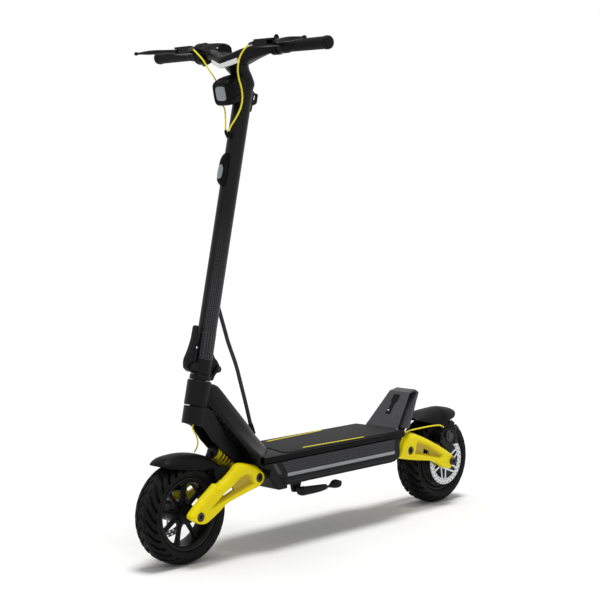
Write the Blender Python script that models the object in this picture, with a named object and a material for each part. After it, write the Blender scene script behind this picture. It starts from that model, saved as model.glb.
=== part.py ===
"""Electric kick scooter with a folding stem and two sprung swingarms.

Metres. +X is forward, +Y is the rider's left, +Z is up.
The origin is on the ground, midway between the two axles.
"""

from math import atan2
from math import cos
from math import pi
from math import radians
from math import sin

import bmesh
import bpy
from mathutils import Vector

# Clearances
SEAT_GAP = 0.0003
PIN_GAP = 0.0005
RUN_GAP = 0.003

# Wheels
WHEELBASE = 0.9775
TYRE_RADIUS = 0.1275
TYRE_HALF_WIDTH = 0.0376
TREAD_FLAT = 0.0145
TYRE_WALL = 0.006
RIM_LIP_RADIUS = 0.0902
RIM_SEAT_RADIUS = 0.0838
RIM_HALF_WIDTH = 0.0297
RIM_LIP = 0.0032
RIM_WALL = 0.0043
WHEEL_SIDES = 32
SPOKE_COUNT = 8
SPOKE_WIDTH = 0.011
SPOKE_THICKNESS = 0.014
HUB_RADIUS = 0.026
DISC_RADIUS = 0.0707
DISC_BAND = 0.0165
DISC_THICKNESS = 0.002
DISC_PLANE = 0.0513
DISC_ARMS = 6
DISC_ARM_WIDTH = 0.007
DISC_HUB_RADIUS = 0.024
AXLE_RADIUS = 0.006
BOLT_HEAD_RADIUS = 0.0105
BOLT_HEAD_LENGTH = 0.006
BOLT_RECESS = 0.0075

# Hub motor
MOTOR_WALL = 0.0068
MOTOR_WEB = 0.007
STATOR_HALF_WIDTH = 0.019
STATOR_HUB_RADIUS = 0.016

# Swingarms
ARM_INSIDE = 0.0575
ARM_OUTSIDE = 0.0775
ARM_BOSS = 0.0175
ARM_POCKET_DEPTH = 0.007
BOLT_SEAT = ARM_OUTSIDE - BOLT_RECESS + SEAT_GAP
LUG_HALF_WIDTH = 0.010
CROSSBAR_RADIUS = 0.0105
FRONT_PIVOT_X = WHEELBASE / 2 - 0.20075
FRONT_PIVOT_Z = 0.196
REAR_PIVOT_X = 0.18475 - WHEELBASE / 2
REAR_PIVOT_Z = 0.184
PIVOT_BOLT_RADIUS = 0.006

# Springs
SPRING_WIRE = 0.0052
FRONT_SPRING_RADIUS = 0.0175
FRONT_SPRING_CURLS = 5
REAR_SPRING_RADIUS = 0.0135
REAR_SPRING_CURLS = 5
CURL_POINTS = 9

# Steering
RAKE = radians(12.8)
STEER_LEAD = 0.0044
STEERER_RADIUS = 0.0145
HEAD_RADIUS = 0.0305
HEAD_BOTTOM = 0.2686
HEAD_TOP = 0.3328
CROWN_BOTTOM = 0.222
FORK_HALF_WIDTH = 0.0285
FORK_WALL = 0.007
SWEEP_RADIUS = 0.2195

# Fold
FOLD_PLATE = 0.0134
FOLD_PLATE_RADIUS = 0.0266
FOLD_PIN_BACK = 0.0480
FOLD_PIN_RISE = 0.0205
FOLD_PIN_RADIUS = 0.004
FOLD_LUG_RADIUS = 0.0084
FOLD_KNUCKLE = 0.0075
FOLD_LUG_WIDTH = 0.0060

# Stem
STEM_RADIUS = 0.0236
STEM_WALL = 0.003
STEM_BASE_RADIUS = 0.0262
STEM_BASE_LENGTH = 0.107
SPIGOT_LENGTH = 0.04

# Fold lever, in front of the stem base
LEVER_PIN_FRONT = 0.0415
LEVER_PIN_ALONG = 0.3625
LEVER_PIN_RADIUS = 0.004
LEVER_HALF_WIDTH = 0.0085
LEVER_CHEEK = 0.006

# Deck
DECK_FRONT = WHEELBASE / 2 - 0.27925
DECK_REAR = 0.27925 - WHEELBASE / 2
DECK_HALF_WIDTH = 0.0985
TRAY_BOTTOM = 0.164
TRAY_TOP = 0.231
TRAY_WALL = 0.0035
TRAY_SIDE = 0.013
BATTERY_SIDE_GAP = 0.0075
STRIP_TOP = 0.199
STRIP_BOTTOM = 0.190
STRIP_DEPTH = 0.002
FIN_COUNT = 4
FIN_DEPTH = 0.0035
LID_TOP = 0.248
LID_HALF_WIDTH = DECK_HALF_WIDTH - 0.002
LID_REAR = DECK_REAR - 0.0585
LID_FRONT = DECK_FRONT + 0.0785
LID_SKIN = 0.0045
LID_SKIRT = 0.006
MAT_THICKNESS = 0.0018
MAT_MARGIN = 0.009

# Handlebar
BAR_Z = 1.2766
BAR_RISE = 0.09155
BAR_LEAD = 0.01712
BAR_HALF_LENGTH = 0.3150
BAR_RADIUS = 0.011
GRIP_RADIUS = 0.0155
GRIP_LENGTH = 0.1454
GRIP_END_WALL = 0.0024
PERCH_WIDTH = 0.020
PERCH_GAP = 0.002
PERCH_RADIUS = 0.017

# Bar stations: share of the way to the controls, ahead of the bar's ends, above them, half depth,
# half height, roundness
BAR_STATIONS = [
    (0.0, 0.0260, -0.0301, 0.0400, 0.0170, 3.0),
    (0.175, 0.0215, -0.0246, 0.0360, 0.0175, 3.0),
    (0.365, 0.0170, -0.0166, 0.0315, 0.0180, 3.0),
    (0.603, 0.0110, -0.0081, 0.0220, 0.0175, 2.6),
    (0.810, 0.0050, -0.0026, 0.0165, 0.0150, 2.3),
    (0.913, 0.0, -0.0010, 0.0130, 0.0125, 2.0),
    (0.980, 0.0, 0.0, BAR_RADIUS, BAR_RADIUS, 2.0),
]
# Column stations: above the stem's top, ahead of it, half depth, half width
BAR_COLUMN = (
    (0.0, 0.0, 0.0232, 0.0232),
    (0.018, 0.008, 0.0240, 0.0245),
    (0.036, 0.024, 0.0280, 0.0280),
    (0.050, 0.033, 0.0330, 0.0310),
)

# White chevron strip, ahead of the bar's ends and below them
CHEVRON_HALF_WIDTH = 0.045
CHEVRON_TIP_AHEAD = 0.0685
CHEVRON_TIP_DROP = 0.0476
CHEVRON_END_AHEAD = 0.0530
CHEVRON_END_DROP = 0.0341
CHEVRON_HEIGHT = 0.011
CHEVRON_DEPTH = 0.013

# Headlight
LAMP_DIP = radians(12.0)
LAMP_HALF_SIZE = 0.030
LAMP_AHEAD = 0.066
LAMP_DROP = 0.1106
LENS_HALF_SIZE = 0.0185
LENS_THICKNESS = 0.003

# Kickstand
STAND_X = DECK_FRONT - 0.0755
STAND_Y = DECK_HALF_WIDTH - 0.0265
STAND_Z = 0.1435
STAND_LENGTH = 0.146
STAND_SPLAY = radians(20.0)

# Cables
HARNESS_RADIUS = 0.0052
BRAKE_CABLE_RADIUS = 0.0020

X_AXIS = Vector((1, 0, 0))
Y_AXIS = Vector((0, 1, 0))
Z_AXIS = Vector((0, 0, 1))

FRONT_AXLE = Vector((WHEELBASE / 2, 0, TYRE_RADIUS))
REAR_AXLE = Vector((-WHEELBASE / 2, 0, TYRE_RADIUS))
FRONT_PIVOT = Vector((FRONT_PIVOT_X, 0, FRONT_PIVOT_Z))
REAR_PIVOT = Vector((REAR_PIVOT_X, 0, REAR_PIVOT_Z))
STEER_UP = Vector((-sin(RAKE), 0, cos(RAKE)))
STEER_BACK = Vector((-cos(RAKE), 0, -sin(RAKE)))
STEER_BASE = FRONT_AXLE + X_AXIS * STEER_LEAD


def steer_point(along, back, side=0.0):
    """A point given along the steering axis, behind it and to the left of it."""
    return STEER_BASE + STEER_UP * along + STEER_BACK * back + Y_AXIS * side


FOLD_PLATE_TOP = HEAD_TOP + 0.0008 + FOLD_PLATE
FOLD_PIN_ALONG = FOLD_PLATE_TOP + FOLD_PIN_RISE
FOLD_PIN = steer_point(FOLD_PIN_ALONG, FOLD_PIN_BACK)
LEVER_PIN = steer_point(LEVER_PIN_ALONG, -LEVER_PIN_FRONT)
STEM_BASE_BOTTOM = FOLD_PLATE_TOP + 0.0008
STEM_BASE_TOP = STEM_BASE_BOTTOM + STEM_BASE_LENGTH
STAND_PIVOT = Vector((STAND_X, STAND_Y, STAND_Z))

# The bar's ends, and what is clamped on them from the grips inwards
STEM_TUBE_TOP = (BAR_Z - BAR_RISE - TYRE_RADIUS) / cos(RAKE)
BAR_X = steer_point(STEM_TUBE_TOP, 0).x + BAR_LEAD
GRIP_OUTER = BAR_HALF_LENGTH + GRIP_END_WALL
GRIP_INNER = GRIP_OUTER - GRIP_LENGTH
PERCH_OUTER = GRIP_INNER - PERCH_GAP
PERCH_INNER = PERCH_OUTER - PERCH_WIDTH
CONTROL_OUTER = PERCH_INNER - 0.002
CONTROL_INNER = CONTROL_OUTER - 0.022
BRAKE_PIVOT_X = BAR_X + 0.048
BRAKE_PIVOT_Y = PERCH_OUTER + 0.008
BRAKE_PIVOT_Z = BAR_Z + 0.0074
BRAKE_PIN_RADIUS = 0.0035
BRAKE_CABLE_END = BRAKE_PIVOT_Y - 0.060

FINISHES = {
    "black_paint": ((0.020, 0.020, 0.022), 0.42, 0.0),
    "carbon_weave": ((0.030, 0.031, 0.033), 0.38, 0.0),
    "rubber": ((0.014, 0.014, 0.015), 0.80, 0.0),
    "yellow_paint": ((0.800, 0.610, 0.010), 0.35, 0.0),
    "yellow_jacket": ((0.760, 0.660, 0.040), 0.45, 0.0),
    "steel": ((0.620, 0.620, 0.620), 0.30, 1.0),
    "dark_steel": ((0.090, 0.090, 0.095), 0.40, 1.0),
    "black_plastic": ((0.022, 0.022, 0.024), 0.50, 0.0),
    "grey_strip": ((0.330, 0.330, 0.340), 0.35, 0.0),
    "white_strip": ((0.700, 0.700, 0.700), 0.35, 0.0),
    "lens": ((0.380, 0.380, 0.390), 0.20, 0.0),
    "cell_wrap": ((0.050, 0.110, 0.230), 0.45, 0.0),
    "copper": ((0.500, 0.210, 0.100), 0.40, 1.0),
}


def clear_scene():
    """Remove every object of the start scene."""
    for item in list(bpy.data.objects):
        bpy.data.objects.remove(item, do_unlink=True)


def finish_material(name):
    """The material of a named finish, made once."""
    existing = bpy.data.materials.get(name)
    if existing:
        return existing
    colour, roughness, metallic = FINISHES[name]
    material = bpy.data.materials.new(name)
    material.use_nodes = True
    shader = material.node_tree.nodes["Principled BSDF"]
    shader.inputs["Base Color"].default_value = (*colour, 1.0)
    shader.inputs["Roughness"].default_value = roughness
    shader.inputs["Metallic"].default_value = metallic
    return material


def pivot_empty(name, place, parent=None):
    """An empty on a joint's axis, which carries the pieces of one moving body."""
    empty = bpy.data.objects.new(name, None)
    bpy.context.scene.collection.objects.link(empty)
    empty.location = place
    bpy.context.view_layer.update()
    if parent:
        attach(empty, parent)
    return empty


def attach(item, parent):
    """Parent an object and keep its place in the world."""
    bpy.context.view_layer.update()
    item.parent = parent
    item.matrix_parent_inverse = parent.matrix_world.inverted()


def solid_object(name, shape):
    """Close a bmesh with its faces pointing out and put it into an object."""
    bmesh.ops.recalc_face_normals(shape, faces=shape.faces)
    mesh = bpy.data.meshes.new(name)
    shape.to_mesh(mesh)
    shape.free()
    item = bpy.data.objects.new(name, mesh)
    bpy.context.scene.collection.objects.link(item)
    return item


def dress(item, finish, parent, smooth=True):
    """Give a finished piece its material, its shading and its parent."""
    item.data.materials.clear()
    item.data.materials.append(finish_material(finish))
    if smooth and item.type == "MESH":
        item.data.shade_smooth()
        item.data.set_sharp_from_angle(angle=radians(35))
    attach(item, parent)
    return item


def apply_boolean(target, tools, operation):
    """Join or cut a piece with others, which are used up."""
    for tool in tools:
        change = target.modifiers.new(operation.lower(), "BOOLEAN")
        change.operation = operation
        change.solver = "EXACT"
        change.object = tool
        depsgraph = bpy.context.evaluated_depsgraph_get()
        mesh = bpy.data.meshes.new_from_object(target.evaluated_get(depsgraph))
        target.modifiers.remove(change)
        target.data = mesh
        bpy.data.objects.remove(tool, do_unlink=True)
    return target


def join(target, *tools):
    return apply_boolean(target, tools, "UNION")


def cut(target, *tools):
    return apply_boolean(target, tools, "DIFFERENCE")


def arc(centre, radius, start, end, steps):
    """Points of an arc in a plane, angles in degrees."""
    points = []
    for step in range(steps + 1):
        angle = radians(start + (end - start) * step / steps)
        points.append((centre[0] + radius * cos(angle), centre[1] + radius * sin(angle)))
    return points


def turned(name, profile, origin, axis, sides):
    """Turn (radius, along) points about an axis, with flats at the stated radius.

    A profile that starts on the axis is a solid, any other is a closed ring.
    """
    axis = Vector(axis).normalized()
    helper = X_AXIS if abs(axis.y) > 0.9 else Y_AXIS
    first = helper.cross(axis).normalized()
    second = axis.cross(first)
    flat = 1.0 / cos(pi / sides)
    shape = bmesh.new()
    rings = []
    for radius, along in profile:
        centre = Vector(origin) + axis * along
        if radius < 1e-9:
            rings.append([shape.verts.new(centre)])
            continue
        ring = []
        for side in range(sides):
            angle = 2 * pi * (side + 0.5) / sides
            spoke = first * cos(angle) + second * sin(angle)
            ring.append(shape.verts.new(centre + spoke * radius * flat))
        rings.append(ring)
    pairs = list(zip(rings, rings[1:]))
    if profile[0][0] > 1e-9:
        pairs.append((rings[-1], rings[0]))
    for near, far in pairs:
        for side in range(sides):
            after = (side + 1) % sides
            corners = [near[side % len(near)], near[after % len(near)]]
            corners += [far[after % len(far)], far[side % len(far)]]
            shape.faces.new(list(dict.fromkeys(corners)))
    return solid_object(name, shape)


def rod(name, start, end, radius, sides=16):
    """A plain round bar between two points."""
    start = Vector(start)
    span = Vector(end) - start
    profile = [(0, 0), (radius, 0), (radius, span.length), (0, span.length)]
    return turned(name, profile, start, span, sides)


def extruded(name, points, direction, start, end):
    """A flat outline of 3-D points, carried along a direction."""
    direction = Vector(direction).normalized()
    shape = bmesh.new()
    low = [shape.verts.new(Vector(point) + direction * start) for point in points]
    high = [shape.verts.new(Vector(point) + direction * end) for point in points]
    shape.faces.new(low)
    shape.faces.new(list(reversed(high)))
    for index in range(len(points)):
        after = (index + 1) % len(points)
        shape.faces.new((low[index], low[after], high[after], high[index]))
    return solid_object(name, shape)


def side_plate(name, outline, start, end):
    """An (x, z) outline between two values of y."""
    return extruded(name, [Vector((x, 0, z)) for x, z in outline], Y_AXIS, start, end)


def plan_plate(name, outline, bottom, top):
    """An (x, y) outline between two heights."""
    return extruded(name, [Vector((x, y, 0)) for x, y in outline], Z_AXIS, bottom, top)


def axis_plate(name, outline, start, end):
    """An outline of (behind, along) points beside the steering axis, between two values of y."""
    return extruded(name, [steer_point(along, back) for back, along in outline], Y_AXIS, start, end)


def box(name, low, high):
    outline = [(low[0], low[1]), (high[0], low[1]), (high[0], high[1]), (low[0], high[1])]
    return plan_plate(name, outline, low[2], high[2])


def lofted(name, rings):
    """Skin a row of rings with as many points each, and close both ends."""
    shape = bmesh.new()
    rows = [[shape.verts.new(Vector(point)) for point in ring] for ring in rings]
    count = len(rows[0])
    for near, far in zip(rows, rows[1:]):
        for index in range(count):
            after = (index + 1) % count
            shape.faces.new((near[index], near[after], far[after], far[index]))
    shape.faces.new(rows[0])
    shape.faces.new(list(reversed(rows[-1])))
    return solid_object(name, shape)


def oval(centre, across, upward, half_across, half_up, power, count):
    """A ring between an ellipse (power 2) and a rounded rectangle (power 4 and over)."""
    ring = []
    for index in range(count):
        angle = 2 * pi * (index + 0.5) / count
        side = abs(cos(angle)) ** (2 / power) * half_across
        rise = abs(sin(angle)) ** (2 / power) * half_up
        side = side if cos(angle) > 0 else -side
        rise = rise if sin(angle) > 0 else -rise
        ring.append(Vector(centre) + Vector(across) * side + Vector(upward) * rise)
    return ring


def smooth_route(points, spacing):
    """Even points on a smooth curve through a route's own points."""
    points = [Vector(point) for point in points]
    padded = [points[0] * 2 - points[1]] + points + [points[-1] * 2 - points[-2]]
    fine = []
    for before, start, end, after in zip(padded, padded[1:], padded[2:], padded[3:]):
        for step in range(24):
            part = step / 24
            curve = start * 2 + (end - before) * part
            curve += (before * 2 - start * 5 + end * 4 - after) * part ** 2
            curve += (start * 3 - before - end * 3 + after) * part ** 3
            fine.append(curve / 2)
    fine.append(points[-1])
    lengths = [0.0]
    for near, far in zip(fine, fine[1:]):
        lengths.append(lengths[-1] + (far - near).length)
    count = max(2, round(lengths[-1] / spacing))
    even = []
    index = 0
    for step in range(count + 1):
        wanted = lengths[-1] * step / count
        while index < len(fine) - 2 and lengths[index + 1] < wanted:
            index += 1
        share = (wanted - lengths[index]) / max(lengths[index + 1] - lengths[index], 1e-9)
        even.append(fine[index].lerp(fine[index + 1], share))
    return even


def tube(name, points, radius, resolution, finish, parent):
    """A closed round tube along points."""
    curve = bpy.data.curves.new(name, "CURVE")
    curve.dimensions = "3D"
    curve.bevel_depth = radius
    curve.bevel_resolution = resolution
    curve.resolution_u = 1
    curve.render_resolution_u = 0
    curve.use_fill_caps = True
    spline = curve.splines.new("POLY")
    spline.points.add(len(points) - 1)
    for slot, point in zip(spline.points, points):
        slot.co = (*point, 1.0)
    item = bpy.data.objects.new(name, curve)
    bpy.context.scene.collection.objects.link(item)
    return dress(item, finish, parent)


def coil_points(start, end, radius, wire, curls):
    """The centre line of a coil spring, with straight ends square to its seats."""
    start = Vector(start)
    end = Vector(end)
    axis = (end - start).normalized()
    first = Y_AXIS.cross(axis).normalized()
    second = axis.cross(first)
    low = wire * 1.5
    high = (end - start).length - wire * 1.5
    points = [start + first * radius, start + first * radius + axis * wire]
    for step in range(curls * CURL_POINTS + 1):
        angle = 2 * pi * step / CURL_POINTS
        along = low + (high - low) * step / (curls * CURL_POINTS)
        points.append(start + axis * along + (first * cos(angle) + second * sin(angle)) * radius)
    tail = (end - start).length
    points += [start + first * radius + axis * (tail - wire), start + first * radius + axis * tail]
    return points


def least_gap(points, wire):
    """The least gap of a coil to itself, between points at least half a curl apart."""
    least = 1.0
    for index, point in enumerate(points):
        for other in points[index + CURL_POINTS // 2 + 1:]:
            least = min(least, (point - other).length - wire)
    return least


def tyre_profile():
    """The open section of a tyre, as (radius, across) points."""
    bead = RIM_HALF_WIDTH - RIM_LIP - SEAT_GAP
    seat = RIM_SEAT_RADIUS + SEAT_GAP
    outer = [
        (TYRE_RADIUS, TREAD_FLAT),
        (TYRE_RADIUS - 0.0036, TREAD_FLAT + 0.0115),
        (TYRE_RADIUS - 0.0110, TYRE_HALF_WIDTH * 0.93),
        (TYRE_RADIUS - 0.0195, TYRE_HALF_WIDTH),
        (RIM_LIP_RADIUS + 0.0045, TYRE_HALF_WIDTH - 0.0040),
        (RIM_LIP_RADIUS + 0.0008, bead),
        (seat, bead),
    ]
    inner = [
        (seat, bead - TYRE_WALL),
        (RIM_LIP_RADIUS + 0.0030, bead - TYRE_WALL),
        (TYRE_RADIUS - 0.0195, TYRE_HALF_WIDTH - TYRE_WALL),
        (TYRE_RADIUS - TYRE_WALL, TREAD_FLAT),
    ]
    half = outer + inner
    return half + [(radius, -across) for radius, across in reversed(half)]


def rim_outside():
    """The outer outline of a rim, from its left lip to its right lip."""
    lip_inside = RIM_HALF_WIDTH - RIM_LIP
    return [
        (RIM_LIP_RADIUS, RIM_HALF_WIDTH),
        (RIM_LIP_RADIUS, lip_inside),
        (RIM_SEAT_RADIUS, lip_inside),
        (RIM_SEAT_RADIUS, -lip_inside),
        (RIM_LIP_RADIUS, -lip_inside),
        (RIM_LIP_RADIUS, -RIM_HALF_WIDTH),
    ]


def polar_window(centre, inner, outer, width, angle, half_step):
    """A window between two spokes of one width, as (x, z) points about an axle."""
    points = []
    for radius, signs in ((inner, (-1, 1)), (outer, (1, 0.34, -0.34, -1))):
        reach = half_step - atan2(width / 2, radius)
        for sign in signs:
            turn = angle + sign * reach
            points.append((centre.x + radius * cos(turn), centre.z + radius * sin(turn)))
    return points


def wheel_piece(name, profile, axle, finish, body):
    item = turned(name, profile, axle, Y_AXIS, WHEEL_SIDES)
    return dress(item, finish, body)


def front_rim(body):
    """A cast rim with flat spokes, its hub and the flange that holds the brake disc."""
    centre = Vector((0, 0, 0))
    inside = RIM_SEAT_RADIUS - RIM_WALL
    ring = rim_outside()
    ring += [(inside + 0.006, -RIM_HALF_WIDTH), (inside, -RIM_HALF_WIDTH + 0.006)]
    ring += [(inside, RIM_HALF_WIDTH - 0.006), (inside + 0.006, RIM_HALF_WIDTH)]
    item = turned("front_rim", ring, centre, Y_AXIS, WHEEL_SIDES)
    half = SPOKE_THICKNESS / 2
    web = [(0, -half), (inside + 0.002, -half), (inside + 0.002, half), (0, half)]
    plate = turned("web", web, centre, Y_AXIS, WHEEL_SIDES)
    half_step = pi / SPOKE_COUNT
    for spoke in range(SPOKE_COUNT):
        angle = 2 * half_step * spoke - radians(12)
        window = polar_window(centre, HUB_RADIUS + 0.009, inside - 0.006, SPOKE_WIDTH, angle, half_step)
        cut(plate, side_plate("window", window, -RIM_HALF_WIDTH, RIM_HALF_WIDTH))
    flange = -(DISC_PLANE - DISC_THICKNESS / 2 - SEAT_GAP)
    hub = [(0, flange), (DISC_HUB_RADIUS, flange), (DISC_HUB_RADIUS, -RIM_HALF_WIDTH)]
    hub += [(HUB_RADIUS, -RIM_HALF_WIDTH + 0.006), (HUB_RADIUS, RIM_HALF_WIDTH - 0.002), (0, RIM_HALF_WIDTH)]
    join(item, plate, turned("hub", hub, centre, Y_AXIS, 24))
    reach = Y_AXIS * DISC_PLANE * 1.2
    cut(item, rod("bore", centre - reach, centre + reach, AXLE_RADIUS + PIN_GAP))
    item.location = FRONT_AXLE
    return dress(item, "black_paint", body)


def brake_disc(name, axle, side, body):
    """A brake disc with a braking band on slim arms."""
    near = side * DISC_PLANE - DISC_THICKNESS / 2
    profile = [(AXLE_RADIUS + 0.003, near), (DISC_RADIUS, near)]
    profile += [(radius, near + DISC_THICKNESS) for radius, _ in reversed(profile)]
    item = turned(name, profile, axle, Y_AXIS, WHEEL_SIDES)
    half_step = pi / DISC_ARMS
    outer = DISC_RADIUS - DISC_BAND
    for number in range(DISC_ARMS):
        angle = 2 * half_step * number
        window = polar_window(axle, DISC_HUB_RADIUS, outer, DISC_ARM_WIDTH, angle, half_step)
        cut(item, side_plate("window", window, near - 0.01, near + 0.01))
    return dress(item, "steel", body)


def axle_bolt(name, centre, half_length, radius, body):
    """A through bolt with a round head at each end."""
    head = half_length + BOLT_HEAD_LENGTH
    profile = [
        (0, -head), (BOLT_HEAD_RADIUS, -head), (BOLT_HEAD_RADIUS, -half_length),
        (radius, -half_length),
    ]
    profile += [(size, -along) for size, along in reversed(profile)]
    return dress(turned(name, profile, centre, Y_AXIS, 16), "dark_steel", body)


def hub_motor(body):
    """The motor's shell, open on its left, and the cover that closes it and holds the disc."""
    bore = AXLE_RADIUS + PIN_GAP
    inside = RIM_SEAT_RADIUS - MOTOR_WALL
    recess = inside + 0.0032
    rebate = RIM_HALF_WIDTH - 0.004
    shell = rim_outside()
    shell += [(HUB_RADIUS, -RIM_HALF_WIDTH - 0.004), (bore, -RIM_HALF_WIDTH - 0.004)]
    shell += [(bore, -RIM_HALF_WIDTH + MOTOR_WEB - 0.004), (inside, -RIM_HALF_WIDTH + MOTOR_WEB - 0.002)]
    shell += [(inside, rebate), (recess, rebate), (recess, RIM_HALF_WIDTH)]
    wheel_piece("motor_shell", shell, REAR_AXLE, "black_paint", body)
    flange = DISC_PLANE - DISC_THICKNESS / 2 - SEAT_GAP
    cover = [(bore, rebate + SEAT_GAP), (recess - SEAT_GAP, rebate + SEAT_GAP)]
    cover += [(recess - SEAT_GAP, RIM_HALF_WIDTH), (DISC_HUB_RADIUS, RIM_HALF_WIDTH + 0.006)]
    cover += [(DISC_HUB_RADIUS, flange), (bore, flange)]
    wheel_piece("motor_cover", cover, REAR_AXLE, "black_paint", body)


def motor_stator(body):
    """The wound core on the rear axle, inside the motor shell."""
    outer = RIM_SEAT_RADIUS - MOTOR_WALL - 0.0015
    bore = AXLE_RADIUS + SEAT_GAP
    half = STATOR_HALF_WIDTH
    profile = [(bore, -half), (STATOR_HUB_RADIUS, -half), (outer - 0.02, -half + 0.008)]
    profile += [(outer - 0.016, -half), (outer, -half)]
    profile += [(radius, -along) for radius, along in reversed(profile)]
    return dress(turned("motor_stator", profile, REAR_AXLE, Y_AXIS, 16), "copper", body)


class ArmFrame:
    """A swingarm's side view: distance from its pivot towards its axle, and height above that line."""

    def __init__(self, pivot, axle):
        self.pivot = pivot
        self.length = (axle - pivot).length
        self.along = (axle - pivot).normalized()
        turn = 1 if self.along.x > 0 else -1
        self.above = Vector((-self.along.z, 0, self.along.x)) * turn

    def point(self, along, above):
        place = self.pivot + self.along * along + self.above * above
        return (place.x, place.z)

    def outline(self, points):
        return [self.point(along, above) for along, above in points]


FRONT_ARM = ArmFrame(FRONT_PIVOT, FRONT_AXLE)
REAR_ARM = ArmFrame(REAR_PIVOT, REAR_AXLE)


def front_arm_outline():
    tip = FRONT_ARM.length
    points = arc((0, 0), ARM_BOSS, 285, 105, 7)
    points += [(0.027, 0.0530), (0.048, 0.0680), (0.077, 0.0650), (0.126, 0.0480), (0.139, 0.0530)]
    points += [(tip - 0.013, 0.0415), (tip + 0.026, 0.0285), (tip + 0.037, 0.0150), (tip + 0.030, 0.0)]
    points += [(tip + 0.010, -0.0184), (tip - 0.016, -0.0167), (0.141, -0.0120), (0.077, -0.0159)]
    return FRONT_ARM.outline(points)


def rear_arm_outline():
    tip = REAR_ARM.length
    slot = AXLE_RADIUS + PIN_GAP
    points = [(-0.034, 0.001), (-0.024, 0.0379), (-0.0076, 0.0489), (0.0234, 0.0500), (0.0862, 0.0431)]
    points += [(tip - 0.0217, 0.0273), (tip + 0.009, 0.0148), (tip + 0.009, slot)]
    points += arc((tip, 0), slot, 90, 270, 8)
    points += [(tip + 0.007, -slot), (tip + 0.001, -0.0224), (tip - 0.021, -0.0236)]
    points += [
        (0.1325, -0.0159), (0.0987, -0.0148), (0.0231, -0.0243), (-0.0298, -0.0290),
        (-0.044, -0.0261),
    ]
    return REAR_ARM.outline(points)


FRONT_POCKET = [
    (0.028, 0.034), (0.052, 0.052), (0.078, 0.048), (0.118, 0.030), (0.172, 0.008),
    (0.128, -0.001), (0.060, -0.002),
]
REAR_POCKET = [
    (0.020, 0.035), (0.070, 0.033), (0.138, 0.014), (0.128, -0.003), (0.060, -0.004),
    (0.022, -0.008),
]
FRONT_SLOT = [(0.104, 0.004), (0.104, 0.016), (0.122, 0.011), (0.122, 0.003)]
REAR_SLOT = [(0.074, 0.004), (0.074, 0.018), (0.098, 0.012), (0.098, 0.003)]
FRONT_CROSSBAR = FRONT_ARM.point(0.0415, 0.0240)
REAR_CROSSBAR = REAR_ARM.point(0.0230, 0.0330)

FRONT_SPRING_TOP = Vector((FRONT_PIVOT_X + 0.088, 0, 0.2665))
FRONT_SPRING_END = Vector((FRONT_PIVOT_X + 0.027, 0, 0.2335))
FRONT_SPRING_AXIS = (FRONT_SPRING_END - FRONT_SPRING_TOP).normalized()
REAR_SPRING_FRONT = Vector((DECK_REAR - 0.0325, 0, 0.2190))
REAR_SPRING_REAR = Vector((REAR_PIVOT_X + 0.009, 0, 0.2190))


def arm_plates(name, frame, outline, pocket, slot, bores):
    """The two side plates of a swingarm, pocketed on their outer faces, as a list of objects."""
    plates = []
    for side in (1, -1):
        near, far = sorted((side * ARM_INSIDE, side * ARM_OUTSIDE))
        plate = side_plate(name, outline, near, far)
        floor = side * (ARM_OUTSIDE - ARM_POCKET_DEPTH)
        low, high = sorted((floor, side * (ARM_OUTSIDE + 0.01)))
        cut(plate, side_plate("pocket", frame.outline(pocket), low, high))
        cut(plate, side_plate("slot", frame.outline(slot), near - 0.01, far + 0.01))
        for centre, radius in bores:
            reach = Y_AXIS * side * ARM_OUTSIDE * 1.2
            floor = Y_AXIS * side * (ARM_OUTSIDE - BOLT_RECESS)
            cut(plate, rod("bore", centre, centre + reach, radius + SEAT_GAP))
            cut(plate, rod("recess", centre + floor, centre + reach, BOLT_HEAD_RADIUS + PIN_GAP))
        plates.append(plate)
    return plates


def crossbar(centre):
    """The bar between a swingarm's plates, let a little into each of them."""
    reach = ARM_INSIDE + 0.004
    place = Vector((centre[0], 0, centre[1]))
    return rod("crossbar", place - Y_AXIS * reach, place + Y_AXIS * reach, CROSSBAR_RADIUS)


def spring_seat(place, axis, radius, depth):
    """A round seat whose flat face is at a spring's end, and the peg that enters the coil."""
    peg = radius - SPRING_WIRE * 1.25
    profile = [
        (0, -depth), (radius + 0.001, -depth), (radius + 0.001, -SEAT_GAP),
        (peg, -SEAT_GAP), (peg, 0.007), (0, 0.007),
    ]
    return turned("seat", profile, place, axis, 16)


def front_swingarm(body):
    bores = [(FRONT_PIVOT, PIVOT_BOLT_RADIUS), (FRONT_AXLE, AXLE_RADIUS)]
    outline = front_arm_outline()
    left, right = arm_plates("front_swingarm", FRONT_ARM, outline, FRONT_POCKET, FRONT_SLOT, bores)
    x, z = FRONT_CROSSBAR
    tip_x, tip_z = FRONT_SPRING_TOP.x, FRONT_SPRING_TOP.z
    lug = [
        (x - 0.008, z + 0.005), (x + 0.003, z - 0.009), (x + 0.020, z + 0.002),
        (tip_x + 0.004, tip_z - 0.037),
    ]
    lug += [(tip_x + 0.025, tip_z - 0.011), (tip_x + 0.014, tip_z + 0.007), (tip_x + 0.0095, tip_z - 0.0085)]
    lug += [(tip_x + 0.010, tip_z - 0.0195), (tip_x - 0.008, tip_z - 0.0345), (x + 0.012, z + 0.0195)]
    seat = spring_seat(FRONT_SPRING_TOP, FRONT_SPRING_AXIS, FRONT_SPRING_RADIUS, 0.006)
    join(left, crossbar(FRONT_CROSSBAR), right)
    join(left, side_plate("lug", lug, -LUG_HALF_WIDTH, LUG_HALF_WIDTH), seat)
    return dress(left, "yellow_paint", body)


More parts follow.
